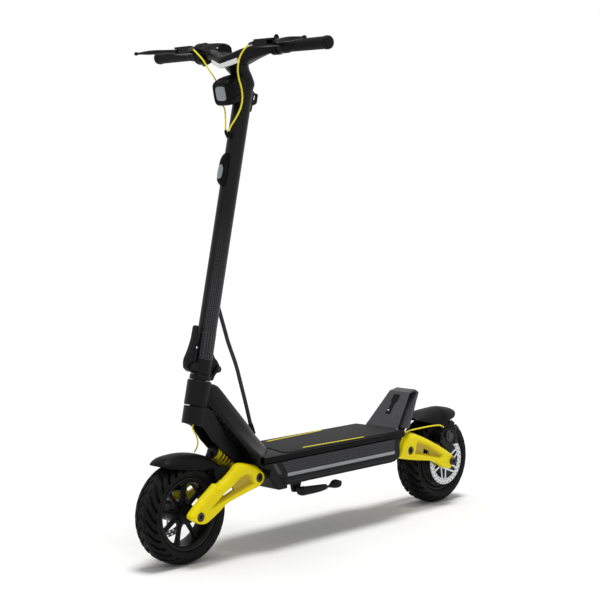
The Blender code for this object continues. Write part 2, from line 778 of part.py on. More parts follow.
def rear_swingarm(body):
    bores = [(REAR_PIVOT, PIVOT_BOLT_RADIUS)]
    left, right = arm_plates("rear_swingarm", REAR_ARM, rear_arm_outline(), REAR_POCKET, REAR_SLOT, bores)
    x, z = REAR_CROSSBAR
    top = REAR_SPRING_REAR.z
    face = REAR_SPRING_REAR.x
    lug = [
        (x - 0.006, z - 0.007), (x + 0.006, z - 0.008), (face - 0.005, top - 0.012),
        (face - 0.005, top + 0.012),
    ]
    lug += [(x, z + 0.009)]
    seat = spring_seat(REAR_SPRING_REAR, X_AXIS, REAR_SPRING_RADIUS, 0.006)
    stay = [
        (x - 0.008, z), (x + 0.004, z + 0.008), (x - 0.024, z + 0.0420),
        (x - 0.0415, z + 0.0504), (x - 0.0540, z + 0.0544), (x - 0.040, z + 0.0390),
    ]
    join(left, crossbar(REAR_CROSSBAR), right, side_plate("lug", lug, -0.009, 0.009), seat)
    join(left, side_plate("stay", stay, -0.008, 0.008))
    return dress(left, "yellow_paint", body)


FENDER_HALF_WIDTH = 0.047
FENDER_SKIN = 0.0026
FENDER_STEPS = 6
# Fender stations about the axle: crown x and z, edge x and z, half width
FRONT_FENDER = (
    (-0.124, 0.1020, -0.124, 0.0800, 0.0470),
    (-0.099, 0.1190, -0.110, 0.0890, 0.0470),
    (-0.080, 0.1320, -0.096, 0.0960, 0.0470),
    (-0.050, 0.1425, -0.066, 0.1055, 0.0470),
    (-0.018, 0.1490, -0.030, 0.1095, 0.0470),
    (0.015, 0.1515, 0.008, 0.1145, 0.0465),
    (0.051, 0.1490, 0.051, 0.1215, 0.0410),
    (0.0675, 0.1430, 0.068, 0.1255, 0.0340),
    (0.0785, 0.1335, 0.078, 0.1285, 0.0230),
)
REAR_FENDER = (
    (0.113, 0.1360, 0.127, 0.1315, 0.0470),
    (0.083, 0.1445, 0.101, 0.1265, 0.0470),
    (0.053, 0.1485, 0.065, 0.1165, 0.0470),
    (0.008, 0.1515, 0.019, 0.1095, 0.0470),
    (-0.024, 0.1515, -0.016, 0.1125, 0.0470),
    (-0.062, 0.1445, -0.051, 0.1170, 0.0400),
    (-0.0795, 0.1385, -0.072, 0.1225, 0.0300),
    (-0.0890, 0.1335, -0.086, 0.1275, 0.0160),
)


def fender_skin(name, stations, axle):
    """An arched shell: each station runs from its edge over its crown to its other edge."""
    rings = []
    for crown_x, crown_z, edge_x, edge_z, half in stations:
        outer = []
        inner = []
        for step in range(FENDER_STEPS + 1):
            angle = pi * step / FENDER_STEPS - pi / 2
            share = cos(angle)
            x = axle.x + edge_x + (crown_x - edge_x) * share
            z = axle.z + edge_z + (crown_z - edge_z) * share
            outer.append(Vector((x, half * sin(angle), z)))
            thin = half - FENDER_SKIN
            inner.append(Vector((x, thin * sin(angle), z - FENDER_SKIN * (0.25 + share))))
        rings.append(outer + list(reversed(inner)))
    return lofted(name, rings)


def front_fender(body):
    axle_x, axle_z = FRONT_AXLE.x, FRONT_AXLE.z
    item = fender_skin("front_fender", FRONT_FENDER, FRONT_AXLE)
    for side in (1, -1):
        low, high = sorted((side * (FENDER_HALF_WIDTH - 0.0015), side * (ARM_INSIDE - SEAT_GAP)))
        ear = [(axle_x - 0.121, axle_z + 0.081), (axle_x - 0.100, axle_z + 0.091)]
        ear += [(axle_x - 0.102, axle_z + 0.104), (axle_x - 0.121, axle_z + 0.092)]
        join(item, side_plate("ear", ear, low, high))
    half = LUG_HALF_WIDTH + 0.0008
    front = FRONT_SPRING_TOP.x + 0.0275
    cut(item, box("notch", (axle_x - 0.16, -half, axle_z), (front, half, axle_z + 0.2)))
    return dress(item, "black_plastic", body)


def rear_fender(body):
    return dress(fender_skin("rear_fender", REAR_FENDER, REAR_AXLE), "black_plastic", body)


def caliper(name, axle, side, outside, body):
    """A brake caliper over the top of a disc, with the ear that bolts to the swingarm's inner face."""
    plane = side * DISC_PLANE
    outline = [
        (-0.040, 0.046), (-0.036, 0.074), (-0.018, 0.092), (0.014, 0.095), (0.036, 0.084),
        (0.041, 0.060), (0.026, 0.046),
    ]
    outline = [(axle.x + x, axle.z + z) for x, z in outline]
    low, high = sorted((plane - side * 0.0085, side * outside))
    item = side_plate(name, outline, low, high)
    reach = DISC_RADIUS + 0.002
    gap = [(0, -0.0024), (reach, -0.0024), (reach, 0.0024), (0, 0.0024)]
    cut(item, turned("gap", gap, axle + Y_AXIS * plane, Y_AXIS, WHEEL_SIDES))
    ear = [
        (axle.x - 0.024, axle.z + 0.018), (axle.x + 0.010, axle.z + 0.018),
        (axle.x + 0.012, axle.z + 0.055), (axle.x - 0.026, axle.z + 0.055),
    ]
    low, high = sorted((side * (DISC_PLANE + 0.0036), side * (ARM_INSIDE - SEAT_GAP)))
    join(item, side_plate("ear", ear, low, high))
    return dress(item, "black_paint", body)


def deck_section():
    """Half of the tray's outer section as (y, z) points, from the top down."""
    points = [(DECK_HALF_WIDTH, TRAY_TOP), (DECK_HALF_WIDTH, STRIP_TOP)]
    points += [(DECK_HALF_WIDTH - STRIP_DEPTH, STRIP_TOP), (DECK_HALF_WIDTH - STRIP_DEPTH, STRIP_BOTTOM)]
    pitch = (STRIP_BOTTOM - TRAY_BOTTOM - 0.002) / FIN_COUNT
    for fin in range(FIN_COUNT):
        top = STRIP_BOTTOM - fin * pitch
        out = DECK_HALF_WIDTH - 0.0005 * fin ** 2
        points += [(out, top), (out, top - pitch * 0.5)]
        points += [(out - FIN_DEPTH, top - pitch * 0.55), (out - FIN_DEPTH, top - pitch)]
    points.append((DECK_HALF_WIDTH - 0.014, TRAY_BOTTOM))
    return points


def deck_tray(body):
    """The extruded side and floor section of the deck, open on top and at both ends."""
    outer = deck_section()
    inside = DECK_HALF_WIDTH - TRAY_SIDE
    floor = TRAY_BOTTOM + TRAY_WALL
    inner = [(inside, floor), (inside, TRAY_TOP)]
    loop = outer + [(-y, z) for y, z in reversed(outer)]
    loop += [(-y, z) for y, z in reversed(inner)] + inner
    points = [Vector((0, y, z)) for y, z in loop]
    item = extruded("deck_tray", points, X_AXIS, DECK_REAR, DECK_FRONT)
    return dress(item, "carbon_weave", body)


NECK_FOOT_X = DECK_FRONT - 0.0105
NECK_FOOT_HALF_WIDTH = 0.018


def lid_outline(inset):
    """The lid seen from above, with the notch that goes round the neck's foot."""
    half = LID_HALF_WIDTH - inset
    notch = [
        (LID_FRONT - inset, half), (DECK_FRONT + 0.0095 - inset, 0.0395),
        (NECK_FOOT_X - inset - 0.003, NECK_FOOT_HALF_WIDTH),
    ]
    outline = [
        (LID_REAR + inset, -half + 0.012), (LID_REAR + inset, half - 0.012),
        (LID_REAR + inset + 0.012, half),
    ]
    outline += notch + [(x, -y) for x, y in reversed(notch)] + [(LID_REAR + inset + 0.012, -half)]
    return outline


def deck_lid(body):
    item = plan_plate("deck_lid", lid_outline(0.0), TRAY_TOP + SEAT_GAP, LID_TOP)
    half = LID_HALF_WIDTH - LID_SKIRT
    low = (DECK_REAR + 0.004, -half, TRAY_TOP - 0.01)
    high = (NECK_FOOT_X - 0.012, half, LID_TOP - LID_SKIN)
    cut(item, box("hollow", low, high))
    half = REAR_SPRING_RADIUS + SPRING_WIRE + RUN_GAP
    top = REAR_SPRING_FRONT.z + half
    cut(item, box("spring_room", (LID_REAR - 0.01, -half, TRAY_TOP - 0.01), (DECK_REAR - 0.012, half, top)))
    return dress(item, "black_paint", body)


def deck_mat(body):
    half = LID_HALF_WIDTH - MAT_MARGIN
    rear = LID_REAR + 0.014
    front = DECK_FRONT - 0.0045
    notch = [(front, half - 0.012), (NECK_FOOT_X - 0.012, NECK_FOOT_HALF_WIDTH)]
    outline = [(rear, -half), (rear, half), (front - 0.020, half)]
    outline += notch + [(x, -y) for x, y in reversed(notch)] + [(front - 0.020, -half)]
    low = LID_TOP + SEAT_GAP
    item = plan_plate("deck_mat", outline, low, low + MAT_THICKNESS)
    foot = [(0.014, -0.072), (-0.031, -0.083), (-0.031, 0.083), (0.014, 0.072)]
    foot = [(LID_REAR + ahead, y) for ahead, y in foot]
    cut(item, plan_plate("foot", foot, low - 0.01, low + 0.01))
    return dress(item, "rubber", body)


def sweep_profile(lift, grow):
    """The surface that the steered parts stay under, as (behind, along) points."""
    return [
        (HEAD_RADIUS + 0.004, HEAD_BOTTOM + lift),
        (0.0504 + grow, HEAD_BOTTOM - 0.0082 + lift),
        (0.185 + grow, 0.1477 + lift),
        (SWEEP_RADIUS + grow, 0.1387 + lift),
    ]


def sweep_space(name):
    """The space round the steering axis that the frame leaves free."""
    profile = [(0, -0.12), (SWEEP_RADIUS, -0.12)] + list(reversed(sweep_profile(0, 0)))
    profile.append((0, HEAD_BOTTOM))
    return turned(name, profile, STEER_BASE, STEER_UP, 48)


def neck_frame(body):
    """The neck casting: a flared foot on the deck, the raked head tube and the wall between them."""
    rows = [
        (TRAY_TOP + SEAT_GAP, (-0.0115, 0.0165), (0.0125, 0.0375), (0.0905, 0.0945)),
        (LID_TOP + 0.001, (-0.0095, 0.0165), (0.0140, 0.0375), (0.0905, 0.0945)),
        (0.275, (0.0165, 0.0190), (0.0405, 0.0430), (0.1205, 0.0850)),
        (0.304, (0.0445, 0.0200), (0.0685, 0.0400), (0.1425, 0.0660)),
        (0.327, (0.0665, 0.0205), (0.0905, 0.0370), (0.1625, 0.0520)),
        (0.390, (0.1285, 0.0215), (0.1525, 0.0310), (0.2025, 0.0330)),
        (0.431, (0.1725, 0.0210), (0.1825, 0.0260), (0.2065, 0.0290)),
        (0.441, (0.1885, 0.0190), (0.1945, 0.0220), (0.2065, 0.0250)),
    ]
    rings = []
    for height, *half in rows:
        half = [(DECK_FRONT + ahead, y) for ahead, y in half]
        ring = [Vector((x, y, height)) for x, y in half]
        ring += [Vector((x, -y, height)) for x, y in reversed(half)]
        rings.append(ring)
    item = lofted("neck_frame", rings)
    head = [
        (0, HEAD_BOTTOM - 0.004), (HEAD_RADIUS, HEAD_BOTTOM - 0.004),
        (HEAD_RADIUS, HEAD_TOP), (0, HEAD_TOP),
    ]
    join(item, turned("head", head, STEER_BASE, STEER_UP, 32))
    cut(item, sweep_space("sweep"))
    low = steer_point(CROWN_BOTTOM, 0)
    high = steer_point(HEAD_TOP + 0.02, 0)
    cut(item, rod("bore", low, high, STEERER_RADIUS + PIN_GAP, 24))
    return dress(item, "black_paint", body)


def front_cap(body):
    """The slanted block that closes the front of the tray, hollowed for the steered parts."""
    low = TRAY_BOTTOM - 0.005
    outline = [
        (SEAT_GAP, TRAY_TOP), (0.0905, TRAY_TOP), (0.0835, 0.218), (0.0625, 0.192),
        (0.0405, TRAY_BOTTOM - 0.0005), (0.0305, low), (SEAT_GAP, low),
    ]
    outline = [(DECK_FRONT + ahead, z) for ahead, z in outline]
    item = side_plate("front_cap", outline, -DECK_HALF_WIDTH, DECK_HALF_WIDTH)
    cut(item, sweep_space("sweep"))
    return dress(item, "black_paint", body)


REAR_EAR_INSIDE = 0.030
REAR_EAR_OUTSIDE = ARM_INSIDE - 0.001


def rear_cap(body):
    """The block that closes the rear of the tray, with two ears for the rear pivot and the spring's seat."""
    front = DECK_REAR - SEAT_GAP
    back = REAR_SPRING_FRONT.x + 0.006
    outline = [(front, TRAY_TOP), (back, TRAY_TOP), (back, 0.178), (front, TRAY_BOTTOM + 0.002)]
    half = DECK_HALF_WIDTH - 0.004
    item = side_plate("rear_cap", outline, -half, half)
    x, z = REAR_PIVOT.x, REAR_PIVOT.z
    ear = [(back + 0.004, z - 0.010)] + arc((x, z), 0.0150, 270, 90, 6) + [(back + 0.004, z + 0.024)]
    for side in (1, -1):
        low, high = sorted((side * REAR_EAR_INSIDE, side * REAR_EAR_OUTSIDE))
        join(item, side_plate("ear", ear, low, high))
    join(item, spring_seat(REAR_SPRING_FRONT, -X_AXIS, REAR_SPRING_RADIUS, 0.008))
    reach = Y_AXIS * ARM_OUTSIDE
    cut(item, rod("bore", REAR_PIVOT - reach, REAR_PIVOT + reach, PIVOT_BOLT_RADIUS + SEAT_GAP))
    return dress(item, "black_paint", body)


def light_strip(name, side, body):
    near = side * (DECK_HALF_WIDTH - STRIP_DEPTH + SEAT_GAP)
    far = side * (DECK_HALF_WIDTH + 0.0006)
    low = (DECK_REAR, min(near, far), STRIP_BOTTOM + SEAT_GAP)
    high = (DECK_FRONT, max(near, far), STRIP_TOP - SEAT_GAP)
    return dress(box(name, low, high), "grey_strip", body, smooth=False)


def deck_insides(body):
    """The battery and the controller on the tray's floor."""
    floor = TRAY_BOTTOM + TRAY_WALL + SEAT_GAP
    half = DECK_HALF_WIDTH - TRAY_SIDE - BATTERY_SIDE_GAP
    low = (DECK_REAR + 0.0195, -half, floor)
    high = (DECK_FRONT - 0.1195, half, floor + 0.056)
    pack = box("battery_pack", low, high)
    dress(pack, "cell_wrap", body, smooth=False)
    low = (DECK_FRONT - 0.1055, -0.055, floor)
    high = (DECK_FRONT - 0.0135, 0.055, floor + 0.034)
    board = box("motor_controller", low, high)
    dress(board, "steel", body, smooth=False)


HOOK_SLOT_WIDTH = 0.013


def footrest(body):
    """A bent kick plate: a front plate, a top lip and a wider back plate, with the hook's slot."""
    low = LID_TOP + SEAT_GAP
    band = [
        (0.0060, low, 0.0585),
        (-0.0750, 0.3410, 0.0365),
        (-0.1050, 0.3470, 0.0350),
        (-0.1210, 0.3380, 0.0360),
        (-0.0280, low, 0.0790),
        (-0.0210, low, 0.0790),
        (-0.1110, 0.3355, 0.0360),
        (-0.1020, 0.3415, 0.0350),
        (-0.0785, 0.3355, 0.0365),
        (-0.0020, low, 0.0585),
    ]
    band = [(LID_REAR + ahead, z, half) for ahead, z, half in band]
    rings = [[Vector((x, side * half, z)) for x, z, half in band] for side in (1, -1)]
    item = lofted("footrest", rings)
    lean = Vector((-0.0810, 0, 0.0925)).normalized()
    face = Vector((0.0925, 0, 0.0810)).normalized()
    foot = Vector((LID_REAR - 0.0275, 0, 0.2870))
    half = HOOK_SLOT_WIDTH / 2
    outline = []
    for along, across in ((-half, 0.6), (-half, -0.6), (0, -1), (0.058, -1), (0.058, 1), (0, 1)):
        outline.append(foot + lean * along + Y_AXIS * across * half)
    cut(item, extruded("slot", outline, face, -0.022, 0.02))
    return dress(item, "black_paint", body)


def kickstand(frame, body):
    """The bracket under the deck's left side, and the leg that is folded back along it."""
    x, y, z = STAND_PIVOT
    top = TRAY_BOTTOM - SEAT_GAP
    outline = [
        (x - 0.016, top), (x + 0.022, top), (x + 0.014, z - 0.010), (x - 0.006, z - 0.012),
        (x - 0.012, z),
    ]
    inside = y - 0.013
    bracket = side_plate("kickstand_bracket", outline, inside - 0.010, inside)
    base = box("foot", (x - 0.024, inside - 0.024, top - 0.005), (x + 0.030, inside + 0.010, top))
    axis = Vector((0, cos(STAND_SPLAY), sin(STAND_SPLAY)))
    pin = rod("pin", STAND_PIVOT - axis * 0.018, STAND_PIVOT + axis * 0.0115, 0.0045)
    join(bracket, base, pin)
    dress(bracket, "black_paint", frame)
    up = Vector((0, -sin(STAND_SPLAY), cos(STAND_SPLAY)))
    flat = Vector((0, cos(STAND_SPLAY), sin(STAND_SPLAY)))
    rings = []
    reach = STAND_LENGTH
    shape = (
        (0.012, 0.0075, 0.0090, -0.0055),
        (0.0, 0.0085, 0.0118, -0.0075),
        (-0.017, 0.0085, 0.0115, -0.0085),
        (-0.063, 0.0075, 0.0098, -0.0098),
        (0.057 - reach, 0.0065, 0.0072, -0.0094),
        (0.055 - reach, 0.0045, 0.0042, -0.0100),
        (0.042 - reach, 0.0040, 0.0038, -0.0102),
        (0.022 - reach, 0.0095, 0.0112, -0.0070),
        (0.007 - reach, 0.0100, 0.0095, -0.0090),
        (-reach, 0.0080, 0.0035, -0.0060),
    )
    for along, across, tall, drop in shape:
        centre = STAND_PIVOT + X_AXIS * along + up * drop
        rings.append(oval(centre, flat, up, across, tall, 3, 10))
    leg = lofted("kickstand_leg", rings)
    cut(leg, rod("bore", STAND_PIVOT - axis * 0.03, STAND_PIVOT + axis * 0.03, 0.0045 + PIN_GAP))
    dress(leg, "black_paint", body)


def steering_fork(body):
    """The fork: steerer, crown, two cheeks, the wall behind them, the pivot tube and a spring seat."""
    half = FORK_HALF_WIDTH
    rear_edge = [(-0.0260, 0.236), (0.0570, 0.400), (0.1520, 0.400)]
    front_edge = [
        (0.1640, 0.346), (0.1410, 0.336), (0.1280, 0.320), (0.1090, 0.295), (0.0860, 0.272),
        (0.0550, 0.246), (0.0290, 0.222),
    ]
    boss = arc((0, FRONT_PIVOT.z), 0.0165, 20, -200, 8)
    crown_top = HEAD_BOTTOM - 0.0015
    crown = [
        (0, CROWN_BOTTOM), (HEAD_RADIUS - 0.001, CROWN_BOTTOM),
        (HEAD_RADIUS - 0.001, crown_top), (0, crown_top),
    ]
    item = turned("steering_fork", crown, STEER_BASE, STEER_UP, 24)
    wall = [(0.1620, 0.349), (0.1001, 0.349), (0.0021, 0.2203), (-0.0030, 0.2000), (-0.0180, 0.2000)]
    wall = [(FRONT_PIVOT_X + ahead, z) for ahead, z in wall + rear_edge]
    join(item, side_plate("wall", wall, -half + FORK_WALL / 2, half - FORK_WALL / 2))
    cheek = [(FRONT_PIVOT_X + ahead, z) for ahead, z in rear_edge + front_edge + boss]
    for side in (1, -1):
        low, high = sorted((side * (half - FORK_WALL), side * half))
        join(item, side_plate("cheek", cheek, low, high))
    reach = Y_AXIS * (ARM_INSIDE - 0.001)
    join(item, rod("tube", FRONT_PIVOT - reach, FRONT_PIVOT + reach, 0.0165, 20))
    room = FRONT_SPRING_RADIUS + SPRING_WIRE / 2 + 0.0012
    cut(item, rod("room", FRONT_SPRING_END, FRONT_SPRING_TOP, room, 20))
    join(item, spring_seat(FRONT_SPRING_END, -FRONT_SPRING_AXIS, FRONT_SPRING_RADIUS, 0.010))
    edge = [(back, along - RUN_GAP) for back, along in sweep_profile(0, -RUN_GAP)]
    above = [(0, crown_top), (HEAD_RADIUS, crown_top)] + edge[1:]
    above += [
        (SWEEP_RADIUS - RUN_GAP, -0.05), (SWEEP_RADIUS + 0.1, -0.05),
        (SWEEP_RADIUS + 0.1, 0.5), (0, 0.5),
    ]
    cut(item, turned("above", above, STEER_BASE, STEER_UP, 48))
    low = steer_point(crown_top - 0.004, 0)
    high = steer_point(FOLD_PLATE_TOP - 0.001, 0)
    join(item, rod("steerer", low, high, STEERER_RADIUS, 24))
    reach = Y_AXIS * ARM_OUTSIDE
    cut(item, rod("bore", FRONT_PIVOT - reach, FRONT_PIVOT + reach, PIVOT_BOLT_RADIUS + SEAT_GAP))
    return dress(item, "black_paint", body)


def fold_bracket(body):
    """The plate on top of the steerer, with two rear lugs for the fold pin."""
    low = FOLD_PLATE_TOP - FOLD_PLATE
    profile = [
        (STEERER_RADIUS + SEAT_GAP, low), (FOLD_PLATE_RADIUS, low),
        (FOLD_PLATE_RADIUS, FOLD_PLATE_TOP),
    ]
    profile.append((STEERER_RADIUS + SEAT_GAP, FOLD_PLATE_TOP))
    item = turned("fold_bracket", profile, STEER_BASE, STEER_UP, 24)
    pin = (FOLD_PIN_BACK, FOLD_PIN_ALONG)
    lug = [(0.018, low + 0.002), (FOLD_PIN_BACK - 0.004, low + 0.004)]
    lug += arc(pin, FOLD_LUG_RADIUS, -45, 195, 8)
    lug += [
        (FOLD_PLATE_RADIUS + 0.0014, FOLD_PLATE_TOP + 0.001),
        (FOLD_PLATE_RADIUS - 0.001, FOLD_PLATE_TOP - 0.001),
    ]
    lug.append((0.018, FOLD_PLATE_TOP - 0.001))
    for side in (1, -1):
        inside = FOLD_KNUCKLE + SEAT_GAP
        near, far = sorted((side * inside, side * (inside + FOLD_LUG_WIDTH)))
        join(item, axis_plate("lug", lug, near, far))
    reach = Y_AXIS * 0.05
    cut(item, rod("bore", FOLD_PIN - reach, FOLD_PIN + reach, FOLD_PIN_RADIUS + SEAT_GAP))
    return dress(item, "black_paint", body)


def fold_hinge_pin(body):
    reach = Y_AXIS * (FOLD_KNUCKLE + FOLD_LUG_WIDTH + 0.001)
    return dress(rod("fold_hinge_pin", FOLD_PIN - reach, FOLD_PIN + reach, FOLD_PIN_RADIUS), "steel", body)


def stem_base(body):
    """The casting at the foot of the stem, with the hinge knuckle behind and the lever's cheeks in front."""
    spigot = STEM_RADIUS - STEM_WALL - SEAT_GAP
    profile = [
        (0, STEM_BASE_BOTTOM), (STEM_BASE_RADIUS, STEM_BASE_BOTTOM),
        (STEM_RADIUS + 0.0008, STEM_BASE_TOP),
    ]
    profile += [
        (spigot, STEM_BASE_TOP), (spigot, STEM_BASE_TOP + SPIGOT_LENGTH),
        (0, STEM_BASE_TOP + SPIGOT_LENGTH),
    ]
    item = turned("stem_base", profile, STEER_BASE, STEER_UP, 24)
    knuckle = [(0.010, STEM_BASE_BOTTOM + 0.001), (STEM_BASE_RADIUS + 0.012, STEM_BASE_BOTTOM + 0.002)]
    knuckle += arc((FOLD_PIN_BACK, FOLD_PIN_ALONG), FOLD_LUG_RADIUS - 0.0005, -110, 70, 7)
    knuckle += [(STEM_BASE_RADIUS + 0.006, FOLD_PIN_ALONG + 0.0215), (0.010, FOLD_PIN_ALONG + 0.030)]
    join(item, axis_plate("knuckle", knuckle, -FOLD_KNUCKLE, FOLD_KNUCKLE))
    cheek = arc((-LEVER_PIN_FRONT, LEVER_PIN_ALONG), 0.0085, 250, 110, 5)
    cheek += [(-0.012, LEVER_PIN_ALONG + 0.020), (-0.012, LEVER_PIN_ALONG - 0.010)]
    for side in (1, -1):
        inside = LEVER_HALF_WIDTH + PIN_GAP
        near, far = sorted((side * inside, side * (inside + LEVER_CHEEK)))
        join(item, axis_plate("cheek", cheek, near, far))
    reach = Y_AXIS * (LEVER_HALF_WIDTH + LEVER_CHEEK)
    join(item, rod("pin", LEVER_PIN - reach, LEVER_PIN + reach, LEVER_PIN_RADIUS))
    reach = Y_AXIS * 0.05
    cut(item, rod("bore", FOLD_PIN - reach, FOLD_PIN + reach, FOLD_PIN_RADIUS + PIN_GAP))
    return dress(item, "black_paint", body)


def fold_lever(body):
    """The upright lever in front of the stem base, which swings forward about its lower pin."""
    outline = [
        (0.0080, -0.0113), (0.0010, -0.0135), (-0.0140, -0.0060), (-0.0180, 0.0145),
        (-0.0095, 0.0395),
    ]
    outline += [
        (-0.0035, 0.0675), (-0.0025, 0.1010), (0.0015, 0.1050), (0.0075, 0.1010),
        (0.0105, 0.0575), (0.0115, 0.0275), (0.0115, -0.0045),
    ]
    outline = [(back - LEVER_PIN_FRONT, along + LEVER_PIN_ALONG) for back, along in outline]
    item = axis_plate("fold_lever", outline, -LEVER_HALF_WIDTH, LEVER_HALF_WIDTH)
    reach = Y_AXIS * 0.05
    cut(item, rod("bore", LEVER_PIN - reach, LEVER_PIN + reach, LEVER_PIN_RADIUS + PIN_GAP))
    return dress(item, "black_paint", body)


CABLE_SLOT_ALONG = 0.5060
CABLE_SLOT_LENGTH = 0.064
CABLE_SLOT_WIDTH = 0.0112


def stem_tube(body):
    """The stem's tube, open at both ends, with the slot behind it where the harness comes out."""
    inside = STEM_RADIUS - STEM_WALL
    low = STEM_BASE_TOP + SEAT_GAP
    profile = [(inside, low), (STEM_RADIUS, low), (STEM_RADIUS, STEM_TUBE_TOP), (inside, STEM_TUBE_TOP)]
    item = turned("stem_tube", profile, STEER_BASE, STEER_UP, 24)
    half = CABLE_SLOT_WIDTH / 2
    top = CABLE_SLOT_ALONG + CABLE_SLOT_LENGTH
    slot = [
        (0.008, CABLE_SLOT_ALONG), (STEM_RADIUS * 2, CABLE_SLOT_ALONG),
        (STEM_RADIUS * 2, top), (0.008, top),
    ]
    cut(item, axis_plate("slot", slot, -half, half))
    return dress(item, "carbon_weave", body)


def stem_shadow(name):
    """A bar a little thicker than the stem, to hollow what hugs it."""
    return rod(name, steer_point(0.3, 0), steer_point(STEM_TUBE_TOP + 0.2, 0), STEM_RADIUS + SEAT_GAP, 24)


def bar_arms(name, grow):
    """The bar from end to end, grown where it hollows its neighbour."""
    half = [(share * CONTROL_INNER, *rest) for share, *rest in BAR_STATIONS]
    half.append((BAR_HALF_LENGTH, *half[-1][1:]))
    mirrored = [(-y, *rest) for y, *rest in reversed(half[1:])]
    rings = []
    for y, ahead, up, deep, tall, power in mirrored + half:
        centre = (BAR_X + ahead, y, BAR_Z + up)
        rings.append(oval(centre, X_AXIS, Z_AXIS, deep + grow, tall + grow, power, 12))
    return lofted(name, rings)


def bar_column(name, grow):
    """The widening column between the stem's top and the bar, grown where it hollows its neighbour."""
    foot = steer_point(STEM_TUBE_TOP + 0.008, 0)
    rings = []
    for rise, ahead, deep, wide in BAR_COLUMN:
        centre = foot + Z_AXIS * rise + X_AXIS * ahead
        rings.append(oval(centre, X_AXIS, Y_AXIS, deep + grow, wide + grow, 2.4, 16))
    return lofted(name, rings)


def handlebar(body):
    """The bar casting: a beaked middle, two arms, the ends under the grips and the neck into the stem."""
    item = bar_arms("handlebar", 0)
    spigot = STEM_RADIUS - STEM_WALL - SEAT_GAP
    low = STEM_TUBE_TOP + SEAT_GAP
    profile = [(0, low - SPIGOT_LENGTH), (spigot, low - SPIGOT_LENGTH), (spigot, low), (STEM_RADIUS, low)]
    profile += [(STEM_RADIUS, low + 0.012), (0, low + 0.012)]
    root = turned("root", profile, STEER_BASE, STEER_UP, 24)
    join(root, bar_column("column", 0))
    join(item, root)
    cut(item, chevron_band("groove", SEAT_GAP))
    return dress(item, "black_paint", body)


def chevron_band(name, grow):
    """A V-shaped band across the bar's front, low in the middle, grown where it cuts its own groove."""
    half = CHEVRON_HALF_WIDTH + grow
    end_x = BAR_X + CHEVRON_END_AHEAD
    end_z = BAR_Z - CHEVRON_END_DROP
    tip = (0, BAR_X + CHEVRON_TIP_AHEAD, BAR_Z - CHEVRON_TIP_DROP)
    rings = []
    for y, front, low in ((-half, end_x, end_z), tip, (half, end_x, end_z)):
        back = front - CHEVRON_DEPTH - grow
        top = low + CHEVRON_HEIGHT + grow
        ahead = front + grow * 30
        corners = ((back, low - grow), (ahead, low - grow), (ahead, top), (back, top))
        rings.append([Vector((x, y, z)) for x, z in corners])
    return lofted(name, rings)


def chevron_strip(body):
    """The white V-shaped strip let into the bar's front."""
    return dress(chevron_band("chevron_strip", 0), "white_strip", body, smooth=False)


def grip(name, side, body):
    """A rubber grip with a collar at its inner end and a flared outer end."""
    bore = BAR_RADIUS + SEAT_GAP
    profile = [
        (bore, GRIP_INNER), (GRIP_RADIUS + 0.0015, GRIP_INNER),
        (GRIP_RADIUS + 0.0015, GRIP_INNER + 0.008),
    ]
    profile += [(GRIP_RADIUS - 0.0006, GRIP_INNER + 0.012), (GRIP_RADIUS, GRIP_OUTER - 0.020)]
    profile += [
        (GRIP_RADIUS + 0.0016, GRIP_OUTER - 0.010), (GRIP_RADIUS - 0.002, GRIP_OUTER),
        (0, GRIP_OUTER),
    ]
    profile = [(0, BAR_HALF_LENGTH + SEAT_GAP), (bore, BAR_HALF_LENGTH + SEAT_GAP)] + profile
    item = turned(name, profile, (BAR_X, 0, BAR_Z), Y_AXIS * side, 16)
    return dress(item, "rubber", body)


def bar_ring(name, inner, outer, radius):
    """A clamp ring round the bar between two values of y."""
    profile = [
        (BAR_RADIUS + SEAT_GAP, inner), (radius, inner), (radius, outer),
        (BAR_RADIUS + SEAT_GAP, outer),
    ]
    return turned(name, profile, (BAR_X, 0, BAR_Z), Y_AXIS, 20)


PERCH_ARM = 0.0095
LEVER_HALF_HEIGHT = 0.0047


def brake_perch(name, side, body):
    """The clamp that holds a brake lever: a ring on the bar, an arm and a fork round the lever."""
    low, high = sorted((side * PERCH_INNER, side * PERCH_OUTER))
    item = bar_ring(name, low, high, PERCH_RADIUS)
    x = BRAKE_PIVOT_X
    z = BRAKE_PIVOT_Z
    root = BAR_X + 0.0125
    clear = BAR_X + THROTTLE_RING + 0.001
    arm = [
        (root, PERCH_INNER), (clear, PERCH_INNER), (clear + 0.001, PERCH_INNER - 0.014),
        (x + 0.002, BRAKE_CABLE_END), (x + 0.015, BRAKE_CABLE_END), (x + 0.013, BRAKE_PIVOT_Y),
        (x + 0.006, BRAKE_PIVOT_Y + 0.009), (x - 0.007, BRAKE_PIVOT_Y + 0.007),
        (root + 0.0075, PERCH_OUTER - 0.001), (root, PERCH_OUTER - 0.001),
    ]
    arm = [(ahead, side * y) for ahead, y in arm]
    join(item, plan_plate("arm", arm, z - PERCH_ARM, z + PERCH_ARM))
    mouth = [
        (x - 0.013, PERCH_OUTER - 0.0035), (x + 0.02, PERCH_OUTER - 0.0075),
        (x + 0.02, PERCH_OUTER + 0.04), (x - 0.013, PERCH_OUTER + 0.04),
    ]
    mouth = [(ahead, side * y) for ahead, y in mouth]
    gap = LEVER_HALF_HEIGHT + PIN_GAP
    cut(item, plan_plate("mouth", mouth, z - gap, z + gap))
    pivot_y = side * BRAKE_PIVOT_Y
    centre = Vector((BRAKE_PIVOT_X, pivot_y, z))
    join(item, rod("pin", centre - Z_AXIS * 0.0075, centre + Z_AXIS * 0.0075, BRAKE_PIN_RADIUS, 12))
    return dress(item, "black_paint", body)


